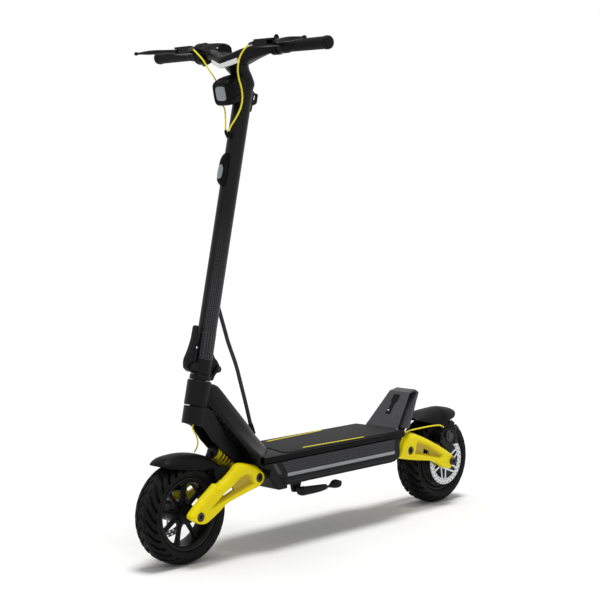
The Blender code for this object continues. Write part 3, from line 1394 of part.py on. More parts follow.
def brake_lever(name, side, body):
    """A two-finger lever that runs out in front of its grip."""
    outline = [
        (-0.0070, -0.0050), (0.0090, -0.0060), (0.0130, 0.0080), (0.0230, 0.0300),
        (0.0330, 0.0700), (0.0365, 0.1300), (0.0330, 0.1375), (0.0270, 0.1340),
        (0.0225, 0.0750), (0.0110, 0.0320), (-0.0060, 0.0090),
    ]
    points = [(BRAKE_PIVOT_X + x, side * (BRAKE_PIVOT_Y + y)) for x, y in outline]
    low = BRAKE_PIVOT_Z - LEVER_HALF_HEIGHT
    item = plan_plate(name, points, low, low + LEVER_HALF_HEIGHT * 2)
    centre = Vector((BRAKE_PIVOT_X, side * BRAKE_PIVOT_Y, BRAKE_PIVOT_Z))
    cut(item, rod("bore", centre - Z_AXIS * 0.02, centre + Z_AXIS * 0.02, BRAKE_PIN_RADIUS + PIN_GAP, 12))
    return dress(item, "black_paint", body)


# Pod sections: inwards of the clamp ring's outer face, then points ahead of the bar and above it
DISPLAY_SECTIONS = (
    (0.018, ((-0.0200, 0.0034), (-0.0180, 0.0194), (-0.0080, 0.0249),
             (0.0120, 0.0244), (0.0230, 0.0134), (0.0230, 0.0034))),
    (0.036, ((-0.0260, 0.0014), (-0.0230, 0.0194), (-0.0120, 0.0249),
             (0.0120, 0.0244), (0.0310, 0.0084), (0.0300, -0.0026))),
    (0.082, ((-0.0280, -0.0006), (-0.0260, 0.0164), (-0.0160, 0.0234),
             (0.0080, 0.0234), (0.0360, -0.0036), (0.0330, -0.0126))),
    (0.097, ((-0.0250, -0.0006), (-0.0220, 0.0124), (-0.0140, 0.0184),
             (0.0040, 0.0184), (0.0330, -0.0076), (0.0300, -0.0146))),
)
THROTTLE_RING = 0.0275
THROTTLE_PIVOT_Y = -(CONTROL_OUTER - 0.004)
THROTTLE_ROOT = (0.0165, 0.0150)
SWITCH_RING = 0.0190
SWITCH_TOP = 0.0200
SWITCH_ROUND = 0.0040
SWITCH_EAR = 0.0035
SWITCH_HALF_WIDTH = 0.0040
SWITCH_Y = (CONTROL_INNER + CONTROL_OUTER) / 2 + 0.0002
SWITCH_PIVOT = (BAR_X + 0.002, SWITCH_Y, BAR_Z + SWITCH_TOP + SWITCH_ROUND + PIN_GAP)


def display_unit(body):
    """The display and throttle housing: a clamp ring on the bar and a long pod towards the middle."""
    item = bar_ring("display_unit", -CONTROL_OUTER, -CONTROL_INNER, THROTTLE_RING)
    rings = []
    for inwards, outline in DISPLAY_SECTIONS:
        y = inwards - CONTROL_OUTER
        rings.append([Vector((BAR_X + ahead, y, BAR_Z + up)) for ahead, up in outline])
    pod = lofted("pod", rings)
    cut(pod, bar_arms("shadow", SEAT_GAP * 2))
    join(item, pod)
    return dress(item, "black_plastic", body)


def throttle_lever(body):
    """The thumb lever behind the display ring, as points behind the bar and above it."""
    outline = [
        (0.0130, -0.0150), (0.0210, -0.0110), (0.0290, -0.0190),
        (0.0310, -0.0280), (0.0270, -0.0300), (0.0190, -0.0240),
    ]
    points = [(BAR_X - behind, BAR_Z + up) for behind, up in outline]
    item = side_plate("throttle_lever", points, -PERCH_INNER - 0.016, -PERCH_INNER - 0.002)
    behind, below = THROTTLE_ROOT
    start = Vector((BAR_X - behind, -PERCH_INNER - 0.010, BAR_Z - below))
    end = Vector((BAR_X - behind, -CONTROL_OUTER - 0.0007, BAR_Z - below))
    join(item, rod("reach", start, end, 0.004, 8))
    return dress(item, "black_plastic", body)


def switch_box(body):
    """The switch housing on the bar's left, with the well of its thumb lever."""
    item = bar_ring("switch_box", CONTROL_INNER, CONTROL_OUTER, SWITCH_RING)
    low = (BAR_X - 0.014, CONTROL_INNER, BAR_Z + 0.006)
    high = (BAR_X + 0.022, CONTROL_OUTER, BAR_Z + SWITCH_TOP)
    pod = box("pod", low, high)
    start = (BAR_X, CONTROL_INNER - 0.02, BAR_Z)
    end = (BAR_X, CONTROL_OUTER + 0.02, BAR_Z)
    cut(pod, rod("bore", start, end, SWITCH_RING - 0.001))
    x, y, z = SWITCH_PIVOT
    low = z - SWITCH_ROUND - 0.002
    ear = [(x - SWITCH_EAR, low), (x + SWITCH_EAR, low)] + arc((x, z), SWITCH_EAR, 0, 180, 5)
    for side in (1, -1):
        inside = SWITCH_HALF_WIDTH + PIN_GAP
        near, far = sorted((y + side * inside, y + side * (inside + 0.002)))
        join(pod, side_plate("ear", ear, near, far))
    join(item, pod)
    return dress(item, "black_plastic", body)


def switch_lever(body):
    """The slim thumb lever on top of the switch box."""
    x, y, z = SWITCH_PIVOT
    outline = arc((x, z), SWITCH_ROUND, 180, 360, 6) + [(x + 0.003, z + 0.0060), (x - 0.0015, z + 0.0075)]
    item = side_plate("switch_lever", outline, y - SWITCH_HALF_WIDTH, y + SWITCH_HALF_WIDTH)
    return dress(item, "black_plastic", body)


# Headlight sections: behind the lens, half width, half height
LAMP_SECTIONS = (
    (-0.0005, 0.0265, 0.0285),
    (0.005, LAMP_HALF_SIZE, 0.0320),
    (0.026, 0.0290, 0.0310),
    (0.050, 0.0235, 0.0265),
    (0.080, 0.0200, 0.0220),
)


def headlight(body):
    """The headlight: a tapering housing against the stem and a rounded square lens."""
    ahead = Vector((cos(LAMP_DIP), 0, -sin(LAMP_DIP)))
    upward = Vector((sin(LAMP_DIP), 0, cos(LAMP_DIP)))
    centre = Vector((BAR_X + LAMP_AHEAD, 0, BAR_Z - LAMP_DROP))
    rings = []
    for back, wide, tall in LAMP_SECTIONS:
        rings.append(oval(centre - ahead * back, Y_AXIS, upward, wide, tall, 4, 16))
    item = lofted("headlight_housing", rings)

    def lens_ring(step, half):
        return oval(centre + ahead * step, Y_AXIS, upward, half, half, 4, 16)

    room = LENS_HALF_SIZE + SEAT_GAP
    well = [lens_ring(-LENS_THICKNESS - SEAT_GAP, room), lens_ring(0.01, room)]
    cut(item, lofted("well", well), stem_shadow("stem"), bar_column("column", SEAT_GAP * 3))
    dress(item, "black_plastic", body)
    lens = [lens_ring(-LENS_THICKNESS, LENS_HALF_SIZE), lens_ring(-0.0006, LENS_HALF_SIZE)]
    lens.append(lens_ring(0.0008, LENS_HALF_SIZE - 0.003))
    dress(lofted("headlight_lens", lens), "lens", body)


# Hook outlines: behind the steering axis, and below the stem tube's top
HOOK_HALF_WIDTH = 0.0042
HOOK_BASE_HALF_WIDTH = 0.009
HOOK_BASE = ((0.018, 0.0580), (0.0285, 0.0570), (0.0300, 0.0500), (0.0300, 0.0060), (0.018, 0.0))
HOOK_LOOP = (
    (0.020, 0.0440), (0.0305, 0.0415), (0.0440, 0.0335), (0.0476, 0.0280),
    (0.0476, 0.0085), (0.0450, 0.0055), (0.020, 0.0055),
)
HOOK_WINDOW = ((0.0304, 0.0235), (0.0431, 0.0235), (0.0431, 0.0110), (0.0304, 0.0110))


def hook_plate(name, outline, half_width):
    """A plate behind the stem, centred on the middle plane."""
    points = [(back, STEM_TUBE_TOP - drop) for back, drop in outline]
    return axis_plate(name, points, -half_width, half_width)


def stem_hook(body):
    """The loop behind the stem, on its base plate, that drops into the kick plate's slot."""
    item = hook_plate("stem_hook", HOOK_LOOP, HOOK_HALF_WIDTH)
    join(item, hook_plate("base", HOOK_BASE, HOOK_BASE_HALF_WIDTH))
    cut(item, hook_plate("window", HOOK_WINDOW, HOOK_BASE_HALF_WIDTH * 2), stem_shadow("stem"))
    return dress(item, "black_paint", body)


# Pod sections on the stem's front: along the stem, how proud, half width
POD_ALONG = 0.866
POD_SECTIONS = (
    (-0.042, 0.003, 0.0055),
    (-0.034, 0.010, 0.0100),
    (-0.022, 0.0130, 0.0115),
    (0.018, 0.0115, 0.0115),
    (0.034, 0.0075, 0.0095),
    (0.042, 0.003, 0.0050),
)


def stem_pod(body):
    """The slim pod on the front of the stem."""
    rings = []
    for step, proud, wide in POD_SECTIONS:
        centre = steer_point(POD_ALONG + step, -STEM_RADIUS + 0.004 - proud / 2 - 0.002)
        rings.append(oval(centre, Y_AXIS, STEER_BACK, wide, proud / 2 + 0.004, 3, 12))
    item = lofted("stem_pod", rings)
    cut(item, stem_shadow("stem"))
    return dress(item, "black_plastic", body)


# Cable routes. The bar's two count from the bar's middle, the two at the fork from the front
# pivot's place on the ground and the rear one from the lid's rear edge
CABLES = {
    "brake_cable_left": [
        (0.0620, 0.1176, 0.0074), (0.0620, 0.1080, 0.0074), (0.0670, 0.0940, -0.0026),
        (0.0720, 0.0800, -0.0236), (0.0710, 0.0710, -0.0486), (0.0680, 0.0700, -0.0726),
        (0.0640, 0.0760, -0.1016), (0.0600, 0.0740, -0.1256), (0.0560, 0.0620, -0.1496),
        (0.0520, 0.0400, -0.1726), (0.0490, 0.0180, -0.1926), (0.0450, 0.0065, -0.2076),
        (0.0372, 0.0045, -0.2176),
    ],
    "brake_cable_right": [
        (0.0620, -0.1176, 0.0074), (0.0620, -0.1060, 0.0074), (0.0645, -0.0850, -0.0056),
        (0.0650, -0.0620, -0.0246), (0.0630, -0.0450, -0.0476), (0.0510, -0.0400, -0.0656),
        (0.0380, -0.0410, -0.0836), (0.0320, -0.0410, -0.1066), (0.0330, -0.0320, -0.1306),
        (0.0370, -0.0160, -0.1476), (0.0420, -0.0080, -0.1716), (0.0445, -0.0055, -0.1936),
        (0.0440, -0.0048, -0.2076), (0.0372, -0.0045, -0.2176),
    ],
    "main_cable": [
        (0.0750, 0.0, 0.6720), (0.0690, 0.0, 0.6450), (0.0600, 0.0, 0.6180), (0.0520, 0.0, 0.5950),
        (0.0430, 0.0, 0.5690), (0.0340, 0.0, 0.5430), (0.0230, 0.0, 0.5170), (0.0110, 0.0, 0.4900),
        (0.0010, 0.0, 0.4630), (-0.0070, 0.0, 0.4370), (-0.0250, 0.0, 0.3790), (-0.0400, 0.0, 0.3270),
        (-0.0493, 0.0, 0.2956),
    ],
    "front_brake_cable": [
        steer_point(CROWN_BOTTOM - 0.0010, 0.0040, -0.0030) - X_AXIS * FRONT_PIVOT_X,
        steer_point(CROWN_BOTTOM - 0.0100, 0.0045, -0.0040) - X_AXIS * FRONT_PIVOT_X,
        (0.1400, -0.0070, 0.3130), (0.1320, -0.0100, 0.2990), (0.1310, -0.0120, 0.2860),
        (0.1360, -0.0130, 0.2755), (0.1410, -0.0130, 0.2705),
    ],
    "rear_brake_cable": [
        (-0.0006, 0.0700, 0.2365), (-0.0170, 0.0700, 0.2375), (-0.0380, 0.0700, 0.2400),
        (-0.0860, 0.0680, 0.2405), (-0.1330, 0.0660, 0.2400), (-0.1680, 0.0630, 0.2380),
        (-0.1900, 0.0600, 0.2340), (-0.2040, 0.0580, 0.2270),
    ],
}


def cable(name, radius, finish, body, start):
    """A cable along its route, whose points count from a start."""
    route = [Vector(point) + Vector(start) for point in CABLES[name]]
    return tube(name, smooth_route(route, radius * 2 * 2.9), radius, 2, finish, body)


def spring(name, seats, radius, curls, body):
    """A coil spring between its two seats."""
    points = coil_points(*seats, radius, SPRING_WIRE, curls)
    print(name, "least gap between curls in mm:", round(least_gap(points, SPRING_WIRE) * 1000, 2))
    return tube(name, points, SPRING_WIRE / 2, 1, "yellow_paint", body)


def build():
    clear_scene()
    frame = pivot_empty("frame", (0, 0, 0))
    steer = pivot_empty("steer", STEER_BASE, frame)
    stem = pivot_empty("stem", FOLD_PIN, steer)
    lever = pivot_empty("fold_handle", LEVER_PIN, stem)
    front_arm = pivot_empty("front_arm", FRONT_PIVOT, steer)
    front_wheel = pivot_empty("front_wheel", FRONT_AXLE, front_arm)
    rear_arm = pivot_empty("rear_arm", REAR_PIVOT, frame)
    rear_wheel = pivot_empty("rear_wheel", REAR_AXLE, rear_arm)
    stand = pivot_empty("stand", STAND_PIVOT, frame)
    brake_left = pivot_empty("brake_left", (BRAKE_PIVOT_X, BRAKE_PIVOT_Y, BRAKE_PIVOT_Z), stem)
    brake_right = pivot_empty("brake_right", (BRAKE_PIVOT_X, -BRAKE_PIVOT_Y, BRAKE_PIVOT_Z), stem)
    throttle = pivot_empty("throttle", (BAR_X, THROTTLE_PIVOT_Y, BAR_Z), stem)
    switch = pivot_empty("switch", SWITCH_PIVOT, stem)

    deck_tray(frame)
    deck_lid(frame)
    deck_mat(frame)
    neck_frame(frame)
    front_cap(frame)
    rear_cap(frame)
    light_strip("light_strip_left", 1, frame)
    light_strip("light_strip_right", -1, frame)
    deck_insides(frame)
    footrest(frame)
    kickstand(frame, stand)
    axle_bolt("rear_pivot_bolt", REAR_PIVOT, BOLT_SEAT, PIVOT_BOLT_RADIUS, frame)
    cable("rear_brake_cable", BRAKE_CABLE_RADIUS, "yellow_jacket", frame, X_AXIS * LID_REAR)

    steering_fork(steer)
    fold_bracket(steer)
    fold_hinge_pin(steer)
    axle_bolt("front_pivot_bolt", FRONT_PIVOT, BOLT_SEAT, PIVOT_BOLT_RADIUS, steer)
    cable("front_brake_cable", BRAKE_CABLE_RADIUS, "yellow_jacket", steer, X_AXIS * FRONT_PIVOT_X)
    cable("main_cable", HARNESS_RADIUS, "rubber", steer, X_AXIS * FRONT_PIVOT_X)
    seats = (FRONT_SPRING_TOP, FRONT_SPRING_END)
    spring("front_spring", seats, FRONT_SPRING_RADIUS, FRONT_SPRING_CURLS, steer)

    stem_base(stem)
    stem_tube(stem)
    handlebar(stem)
    chevron_strip(stem)
    grip("grip_left", 1, stem)
    grip("grip_right", -1, stem)
    brake_perch("brake_perch_left", 1, stem)
    brake_perch("brake_perch_right", -1, stem)
    display_unit(stem)
    switch_box(stem)
    headlight(stem)
    stem_hook(stem)
    stem_pod(stem)
    cable("brake_cable_left", BRAKE_CABLE_RADIUS, "yellow_jacket", stem, (BAR_X, 0, BAR_Z))
    cable("brake_cable_right", BRAKE_CABLE_RADIUS, "yellow_jacket", stem, (BAR_X, 0, BAR_Z))
    fold_lever(lever)
    brake_lever("brake_lever_left", 1, brake_left)
    brake_lever("brake_lever_right", -1, brake_right)
    throttle_lever(throttle)
    switch_lever(switch)

    front_swingarm(front_arm)
    axle_bolt("front_axle", FRONT_AXLE, BOLT_SEAT, AXLE_RADIUS, front_arm)
    front_fender(front_arm)
    caliper("front_caliper", FRONT_AXLE, -1, ARM_INSIDE - SEAT_GAP, front_arm)
    front_rim(front_wheel)
    wheel_piece("front_tyre", tyre_profile(), FRONT_AXLE, "rubber", front_wheel)
    brake_disc("front_disc", FRONT_AXLE, -1, front_wheel)

    rear_swingarm(rear_arm)
    axle_bolt("rear_axle", REAR_AXLE, ARM_OUTSIDE + SEAT_GAP, AXLE_RADIUS, rear_arm)
    rear_fender(rear_arm)
    caliper("rear_caliper", REAR_AXLE, 1, DISC_PLANE + 0.0150, rear_arm)
    motor_stator(rear_arm)
    seats = (REAR_SPRING_FRONT, REAR_SPRING_REAR)
    spring("rear_spring", seats, REAR_SPRING_RADIUS, REAR_SPRING_CURLS, rear_arm)
    hub_motor(rear_wheel)
    wheel_piece("rear_tyre", tyre_profile(), REAR_AXLE, "rubber", rear_wheel)
    brake_disc("rear_disc", REAR_AXLE, 1, rear_wheel)


build()
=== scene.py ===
# %% [markdown]
# # Electric kick scooter
# This scene dresses a finished CAD model. The solids, their joints and their sizes are
# already fixed, so each piece below is drawn in metres where its solid stands. +X is
# forward, +Y is the rider's left and +Z is up.

import bmesh
import bpy
import numpy as np
from mathutils import Matrix, Vector


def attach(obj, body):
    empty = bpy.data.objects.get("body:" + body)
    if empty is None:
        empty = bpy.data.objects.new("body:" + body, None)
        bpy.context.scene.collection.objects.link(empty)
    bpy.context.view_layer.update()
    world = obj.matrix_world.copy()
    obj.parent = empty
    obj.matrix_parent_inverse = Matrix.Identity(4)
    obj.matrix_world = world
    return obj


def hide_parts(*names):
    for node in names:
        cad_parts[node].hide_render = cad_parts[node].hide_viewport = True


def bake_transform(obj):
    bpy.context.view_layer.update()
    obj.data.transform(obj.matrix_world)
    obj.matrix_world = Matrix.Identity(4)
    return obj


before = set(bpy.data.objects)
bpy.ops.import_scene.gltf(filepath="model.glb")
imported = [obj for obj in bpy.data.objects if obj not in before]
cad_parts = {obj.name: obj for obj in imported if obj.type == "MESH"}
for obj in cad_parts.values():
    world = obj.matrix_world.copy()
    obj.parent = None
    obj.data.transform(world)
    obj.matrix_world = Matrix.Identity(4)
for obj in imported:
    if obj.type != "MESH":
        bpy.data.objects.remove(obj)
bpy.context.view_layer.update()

# %% [markdown]
# ## Camera
# The camera stands low in front of the scooter on its left, a long lens away, so that
# upright lines stay upright. Its place was worked out from the two wheels and the bar. A
# matrix is built from its right, up and backward directions, which leaves no angles to mix up.

# %% Camera
CAMERA_PLACE = Vector((2.9047, 2.8048, 0.9598))
CAMERA_YAW = -2.3635
CAMERA_PITCH = 0.0823
CAMERA_ROLL = -0.0095
CAMERA_LENS_MM = 90.33
SENSOR_WIDTH_MM = 36.0
FARTHEST_SEEN = 60.0
STEM_MIDDLE = Vector((0.3, 0, 0.7))

gaze = Vector((np.cos(CAMERA_YAW) * np.cos(CAMERA_PITCH),
               np.sin(CAMERA_YAW) * np.cos(CAMERA_PITCH), -np.sin(CAMERA_PITCH)))
level_right = gaze.cross(Vector((0, 0, 1))).normalized()
level_up = level_right.cross(gaze)
right = level_right * np.cos(CAMERA_ROLL) + level_up * np.sin(CAMERA_ROLL)
upward = level_up * np.cos(CAMERA_ROLL) - level_right * np.sin(CAMERA_ROLL)
aim = Matrix((right, upward, -gaze)).transposed().to_4x4()
camera_data = bpy.data.cameras.new("photo_camera")
camera_data.lens = CAMERA_LENS_MM
camera_data.sensor_width = SENSOR_WIDTH_MM
camera_data.clip_end = FARTHEST_SEEN
camera = bpy.data.objects.new("photo_camera", camera_data)
camera.matrix_world = Matrix.Translation(CAMERA_PLACE) @ aim
bpy.context.scene.collection.objects.link(camera)
bpy.context.scene.camera = camera
print("camera distance to the stem in metres:", round((CAMERA_PLACE - STEM_MIDDLE).length, 2))

# %% [markdown]
# ## Colours and material nodes
# Colours are written as the hex values a painter would pick from a screen, and Blender
# wants them linear. One function undoes the sRGB curve, and another adds a node with its
# settings and its links, so that each finish below reads like a short recipe.

# %% Colour and node helpers
def linear(colour):
    """Linear RGBA of an sRGB hex colour: each channel divided by 255 and taken off the sRGB curve."""
    channels = np.array([int(colour[i:i + 2], 16) for i in (1, 3, 5)]) / 255
    bent = np.where(channels <= 0.04045, channels / 12.92, ((channels + 0.055) / 1.055) ** 2.4)
    return (*(float(channel) for channel in bent), 1.0)


def add(finish, kind, links=None, values=None, **properties):
    """Add a node to a finish: properties and socket values are set, and links feed its sockets."""
    node = finish.node_tree.nodes.new(kind)
    for name, value in properties.items():
        setattr(node, name, value)
    for socket, value in (values or {}).items():
        node.inputs[socket].default_value = value
    for socket, output in (links or {}).items():
        finish.node_tree.links.new(output, node.inputs[socket])
    return node


# A Mix node's sockets share their names, so its colours go by number.
MIX_SHARE, MIX_FIRST, MIX_SECOND, MIX_RESULT = 0, 6, 7, 2


def begin(name, colour, roughness, metallic=0.0):
    """A new finish with its shader, and the Object coordinates that its patterns read."""
    finish = bpy.data.materials.new(name)
    finish.use_nodes = True
    shader = finish.node_tree.nodes["Principled BSDF"]
    shader.inputs["Base Color"].default_value = linear(colour)
    shader.inputs["Roughness"].default_value = roughness
    shader.inputs["Metallic"].default_value = metallic
    place = add(finish, "ShaderNodeTexCoord")
    return finish, shader, place


def plug(finish, output, shader, socket):
    """Let a node's output feed one of the shader's sockets."""
    finish.node_tree.links.new(output, shader.inputs[socket])


def grained(name, dark, light, roughness, spread, grain_mm, bump_mm, metallic=0.0, cloud_mm=60.0,
            shine=0.5):
    """A finish whose colour drifts between two tones in wide clouds, under a fine grain of bumps.

    Noise scale is one over the size in metres. The grain also moves the roughness by the spread.
    """
    finish, shader, place = begin(name, dark, roughness, metallic)
    shader.inputs["Specular IOR Level"].default_value = shine
    clouds = add(finish, "ShaderNodeTexNoise", {"Vector": place.outputs["Object"]},
                 {"Scale": 1000.0 / cloud_mm, "Detail": 4.0})
    tones = add(finish, "ShaderNodeValToRGB", {"Fac": clouds.outputs["Fac"]})
    tones.color_ramp.elements[0].position = 0.3
    tones.color_ramp.elements[0].color = linear(dark)
    tones.color_ramp.elements[1].position = 0.7
    tones.color_ramp.elements[1].color = linear(light)
    plug(finish, tones.outputs["Color"], shader, "Base Color")
    grain = add(finish, "ShaderNodeTexNoise", {"Vector": place.outputs["Object"]},
                {"Scale": 1000.0 / grain_mm, "Detail": 3.0})
    gloss = add(finish, "ShaderNodeMapRange", {"Value": grain.outputs["Fac"]},
                {"To Min": roughness - spread, "To Max": roughness + spread})
    plug(finish, gloss.outputs["Result"], shader, "Roughness")
    bump = add(finish, "ShaderNodeBump", {"Height": grain.outputs["Fac"]},
               {"Strength": 0.6, "Distance": bump_mm / 1000.0})
    plug(finish, bump.outputs["Normal"], shader, "Normal")
    return finish


print("one black in linear light:", np.round(linear("#1c1c1e")[:3], 4))

# %% [markdown]
# ## Painted metal
# The castings are die-cast aluminium with a satin black powder coat, whose slight orange
# peel breaks up the highlights. The two swingarms have a thick yellow enamel, brighter and
# glossier. Both could be flat colours, but then large faces look like paper, so a fine
# grain and wide clouds of tone carry them.

# %% Powder coat and enamel
# Powder coat gives broad, soft highlights with a fine sparkle in them.
powder_coat = grained("powder_coated_aluminium", "#0b0b0c", "#101011", 0.38, 0.06, 0.9, 0.05, shine=0.13)
# Enamel gives a saturated colour with a clear, slightly wavy shine.
yellow_enamel = grained("yellow_enamel", "#ebd604", "#f2e108", 0.36, 0.05, 1.4, 0.03, shine=0.14)
# Painted shade: in the arms' pockets the enamel is mixed towards a darker, duller tan, as far as the pocket
# depth written on the mesh says.
shader = yellow_enamel.node_tree.nodes["Principled BSDF"]
pocket_shade = add(yellow_enamel, "ShaderNodeAttribute", attribute_name="pocket_shade")
enamel_tones = yellow_enamel.node_tree.nodes["Color Ramp"].outputs["Color"]
pocket_shaded = add(yellow_enamel, "ShaderNodeMix", {MIX_SHARE: pocket_shade.outputs["Fac"], MIX_FIRST: enamel_tones},
             {MIX_SECOND: linear("#bfa838")}, data_type="RGBA")
plug(yellow_enamel, pocket_shaded.outputs[MIX_RESULT], shader, "Base Color")
# Spring wire is dipped, so its lacquer is smoother and a little deeper.
spring_lacquer = grained("yellow_spring_lacquer", "#e6d204", "#efdf08", 0.3, 0.04, 2.0, 0.02, shine=0.2)
# Black oxide leaves turned steel dark grey with a low metal shine.
black_oxide = grained("black_oxide_steel", "#3a3a3d", "#47474b", 0.38, 0.08, 0.8, 0.02, 1.0)
# Zinc plate on the small bolt heads is bright and a little cloudy.
zinc_plate = grained("zinc_plated_steel", "#b9bbbd", "#cfd0d2", 0.3, 0.08, 0.8, 0.02, 1.0, 9.0)
print("painted and plated finishes made")

# %% [markdown]
# ## Plastics and rubber
# Fenders, housings and pods are glass-filled nylon from a spark-eroded mould, so they are
# matt with a grain of under a millimetre. Tyres and grips are rubber, the dullest black on
# the scooter. The grain is drawn a little coarser than life so that it shows.

# %% Nylon, rubber, jackets
# Moulded nylon gives an even, dry black that turns grey at grazing angles.
moulded_nylon = grained("glass_filled_nylon", "#090909", "#0d0d0e", 0.46, 0.07, 0.7, 0.07, shine=0.07)
# Tyre rubber is dull, with a faint grey bloom on its grain.
tyre_rubber = grained("tyre_rubber", "#0a0a0b", "#101011", 0.56, 0.08, 1.1, 0.1, shine=0.1)
# Trim panels are the same nylon with a satin paint, a dark grey.
panel_satin = grained("satin_painted_nylon", "#3d3d40", "#474749", 0.4, 0.06, 0.8, 0.05, shine=0.2)
# The kick plate has a greyer and slightly rougher powder coat, painted lighter still to stand for the light
# on its sloped face.
sunlit_grey_powder = grained("grey_powder_coat", "#424244", "#4b4b4d", 0.45, 0.06, 0.9, 0.06, shine=0.15)
# Polyvinyl jackets on the brake cables are a soft, waxy yellow.
cable_jacket = grained("yellow_pvc_jacket", "#ecdc1c", "#f4e82c", 0.42, 0.05, 1.0, 0.03, shine=0.2)
# Frosted acrylic covers the light strips: pale, even and smooth.
frosted_acrylic = grained("frosted_acrylic", "#85888b", "#929598", 0.36, 0.05, 1.2, 0.02)
# The chevron on the bar is white acrylic with a gloss face.
white_acrylic = grained("white_acrylic", "#e2e3e4", "#eeeeef", 0.25, 0.04, 1.2, 0.02)
# Shrink film, winding enamel and bare sheet are inside the body and only seen when it is opened.
shrink_film = grained("battery_shrink_film", "#1f3a63", "#27487a", 0.36, 0.06, 2.0, 0.06)
winding_copper = grained("copper_winding", "#a5622f", "#b97238", 0.35, 0.08, 1.2, 0.2, 1.0, 8.0)
folded_sheet = grained("folded_aluminium_sheet", "#9b9da0", "#adafb2", 0.35, 0.08, 0.8, 0.03, 1.0)
print("plastic and rubber finishes made")

# %% [markdown]
# ## Carbon twill
# The stem and the sides of the deck show a fine woven pattern. A twill has threads that
# pass over two and under two, so light and dark squares climb in diagonals. The squares
# come from two checker patterns on the piece's own UV map, which runs in metres along and
# around the surface, and the thread is drawn at 3.4 mm because a real 2 mm thread is finer
# than the picture's pixels.

# %% Carbon twill
THREAD_MM = 3.4
SLANT = np.radians(45)


def twill(name, coordinate, turn, bare=None):
    """Twill: threads over two and under two, as a checker of one thread laid over a checker of two.

    bare gives two distances from the middle plane between which the weave fades in, two heights
    between which it fades out, and the share of it that is left there.
    """
    finish, shader, place = begin(name, "#0c0c0d", 0.38)
    shader.inputs["Specular IOR Level"].default_value = 0.15
    lean = add(finish, "ShaderNodeMapping", {"Vector": place.outputs[coordinate]}, {"Rotation": turn})
    threads = add(finish, "ShaderNodeTexChecker", {"Vector": lean.outputs["Vector"]},
                  {"Scale": 1000.0 / THREAD_MM, "Color1": linear("#0a0a0b"), "Color2": linear("#58585c")})
    pairs = add(finish, "ShaderNodeTexChecker", {"Vector": lean.outputs["Vector"]},
                {"Scale": 500.0 / THREAD_MM, "Color1": linear("#0c0c0d"), "Color2": linear("#242426")})
    weave = add(finish, "ShaderNodeMix",
                {MIX_FIRST: threads.outputs["Color"], MIX_SECOND: pairs.outputs["Color"]},
                {MIX_SHARE: 0.5}, data_type="RGBA")
    shown = weave
    if bare:
        near, far, full_height, bare_height, left = bare
        axes = add(finish, "ShaderNodeSeparateXYZ", {"Vector": place.outputs["Object"]})
        side = add(finish, "ShaderNodeMath", {0: axes.outputs["Y"]}, operation="ABSOLUTE")
        beside = add(finish, "ShaderNodeMapRange", {"Value": side.outputs["Value"]},
                     {"From Min": near, "From Max": far})
        level = add(finish, "ShaderNodeMapRange", {"Value": axes.outputs["Z"]},
                    {"From Min": full_height, "From Max": bare_height, "To Min": 1.0, "To Max": left})
        share = add(finish, "ShaderNodeMath", {0: beside.outputs["Result"], 1: level.outputs["Result"]},
                    operation="MULTIPLY")
        shown = add(finish, "ShaderNodeMix",
                    {MIX_SHARE: share.outputs["Value"], MIX_SECOND: weave.outputs[MIX_RESULT]},
                    {MIX_FIRST: linear("#0e0e0f")}, data_type="RGBA")
    plug(finish, shown.outputs[MIX_RESULT], shader, "Base Color")
    bump = add(finish, "ShaderNodeBump", {"Height": threads.outputs["Fac"]},
               {"Strength": 0.3, "Distance": 0.0001})
    plug(finish, bump.outputs["Normal"], shader, "Normal")
    return finish


# On the stem the weave is on the two sides and fades out towards the top.
STEM_WEAVE = (0.006, 0.014, 0.66, 0.88, 0.12)
# On the deck it is on the two sides too, and a little weaker below the light strips.
DECK_WEAVE = (0.0935, 0.0965, 0.1905, 0.1895, 0.75)
stem_twill = twill("carbon_twill_round", "UV", (0, 0, SLANT), STEM_WEAVE)
deck_twill = twill("carbon_twill_flat", "Object", (0, SLANT, 0), DECK_WEAVE)
print("twill thread in mm:", THREAD_MM)

# %% [markdown]
# ## Special surfaces
# Some finishes need more than a grain: the brake discs, whose grinding marks run round the
# axle, the grips, which have a moulded diamond pattern, the standing mat, which is coated
# with grit and carries two yellow lines, and the headlight lens with its flutes. Blender's
# wave pattern repeats every 2 pi / 20 of a unit at scale 1, which gives the scales below.

# %% Ground steel, knurled grips
WAVE_MM = 1000 * 2 * np.pi / 20
GRIND_MM = 1.745329
DIAMOND_MM = 7.895684

# Ground steel is bright, and its fine rings draw the highlights out across the band.
disc_steel, shader, place = begin("ground_stainless_steel", "#c9cacc", 0.3, 1.0)
rings = add(disc_steel, "ShaderNodeTexWave", {"Vector": place.outputs["UV"]},
            {"Scale": WAVE_MM / GRIND_MM, "Distortion": 1.5, "Detail": 2.0},
            wave_type="BANDS", bands_direction="Y")
gloss = add(disc_steel, "ShaderNodeMapRange", {"Value": rings.outputs["Fac"]},
            {"To Min": 0.24, "To Max": 0.4})
plug(disc_steel, gloss.outputs["Result"], shader, "Roughness")
marks = add(disc_steel, "ShaderNodeBump", {"Height": rings.outputs["Fac"]},
            {"Strength": 0.3, "Distance": 0.00005})
plug(disc_steel, marks.outputs["Normal"], shader, "Normal")

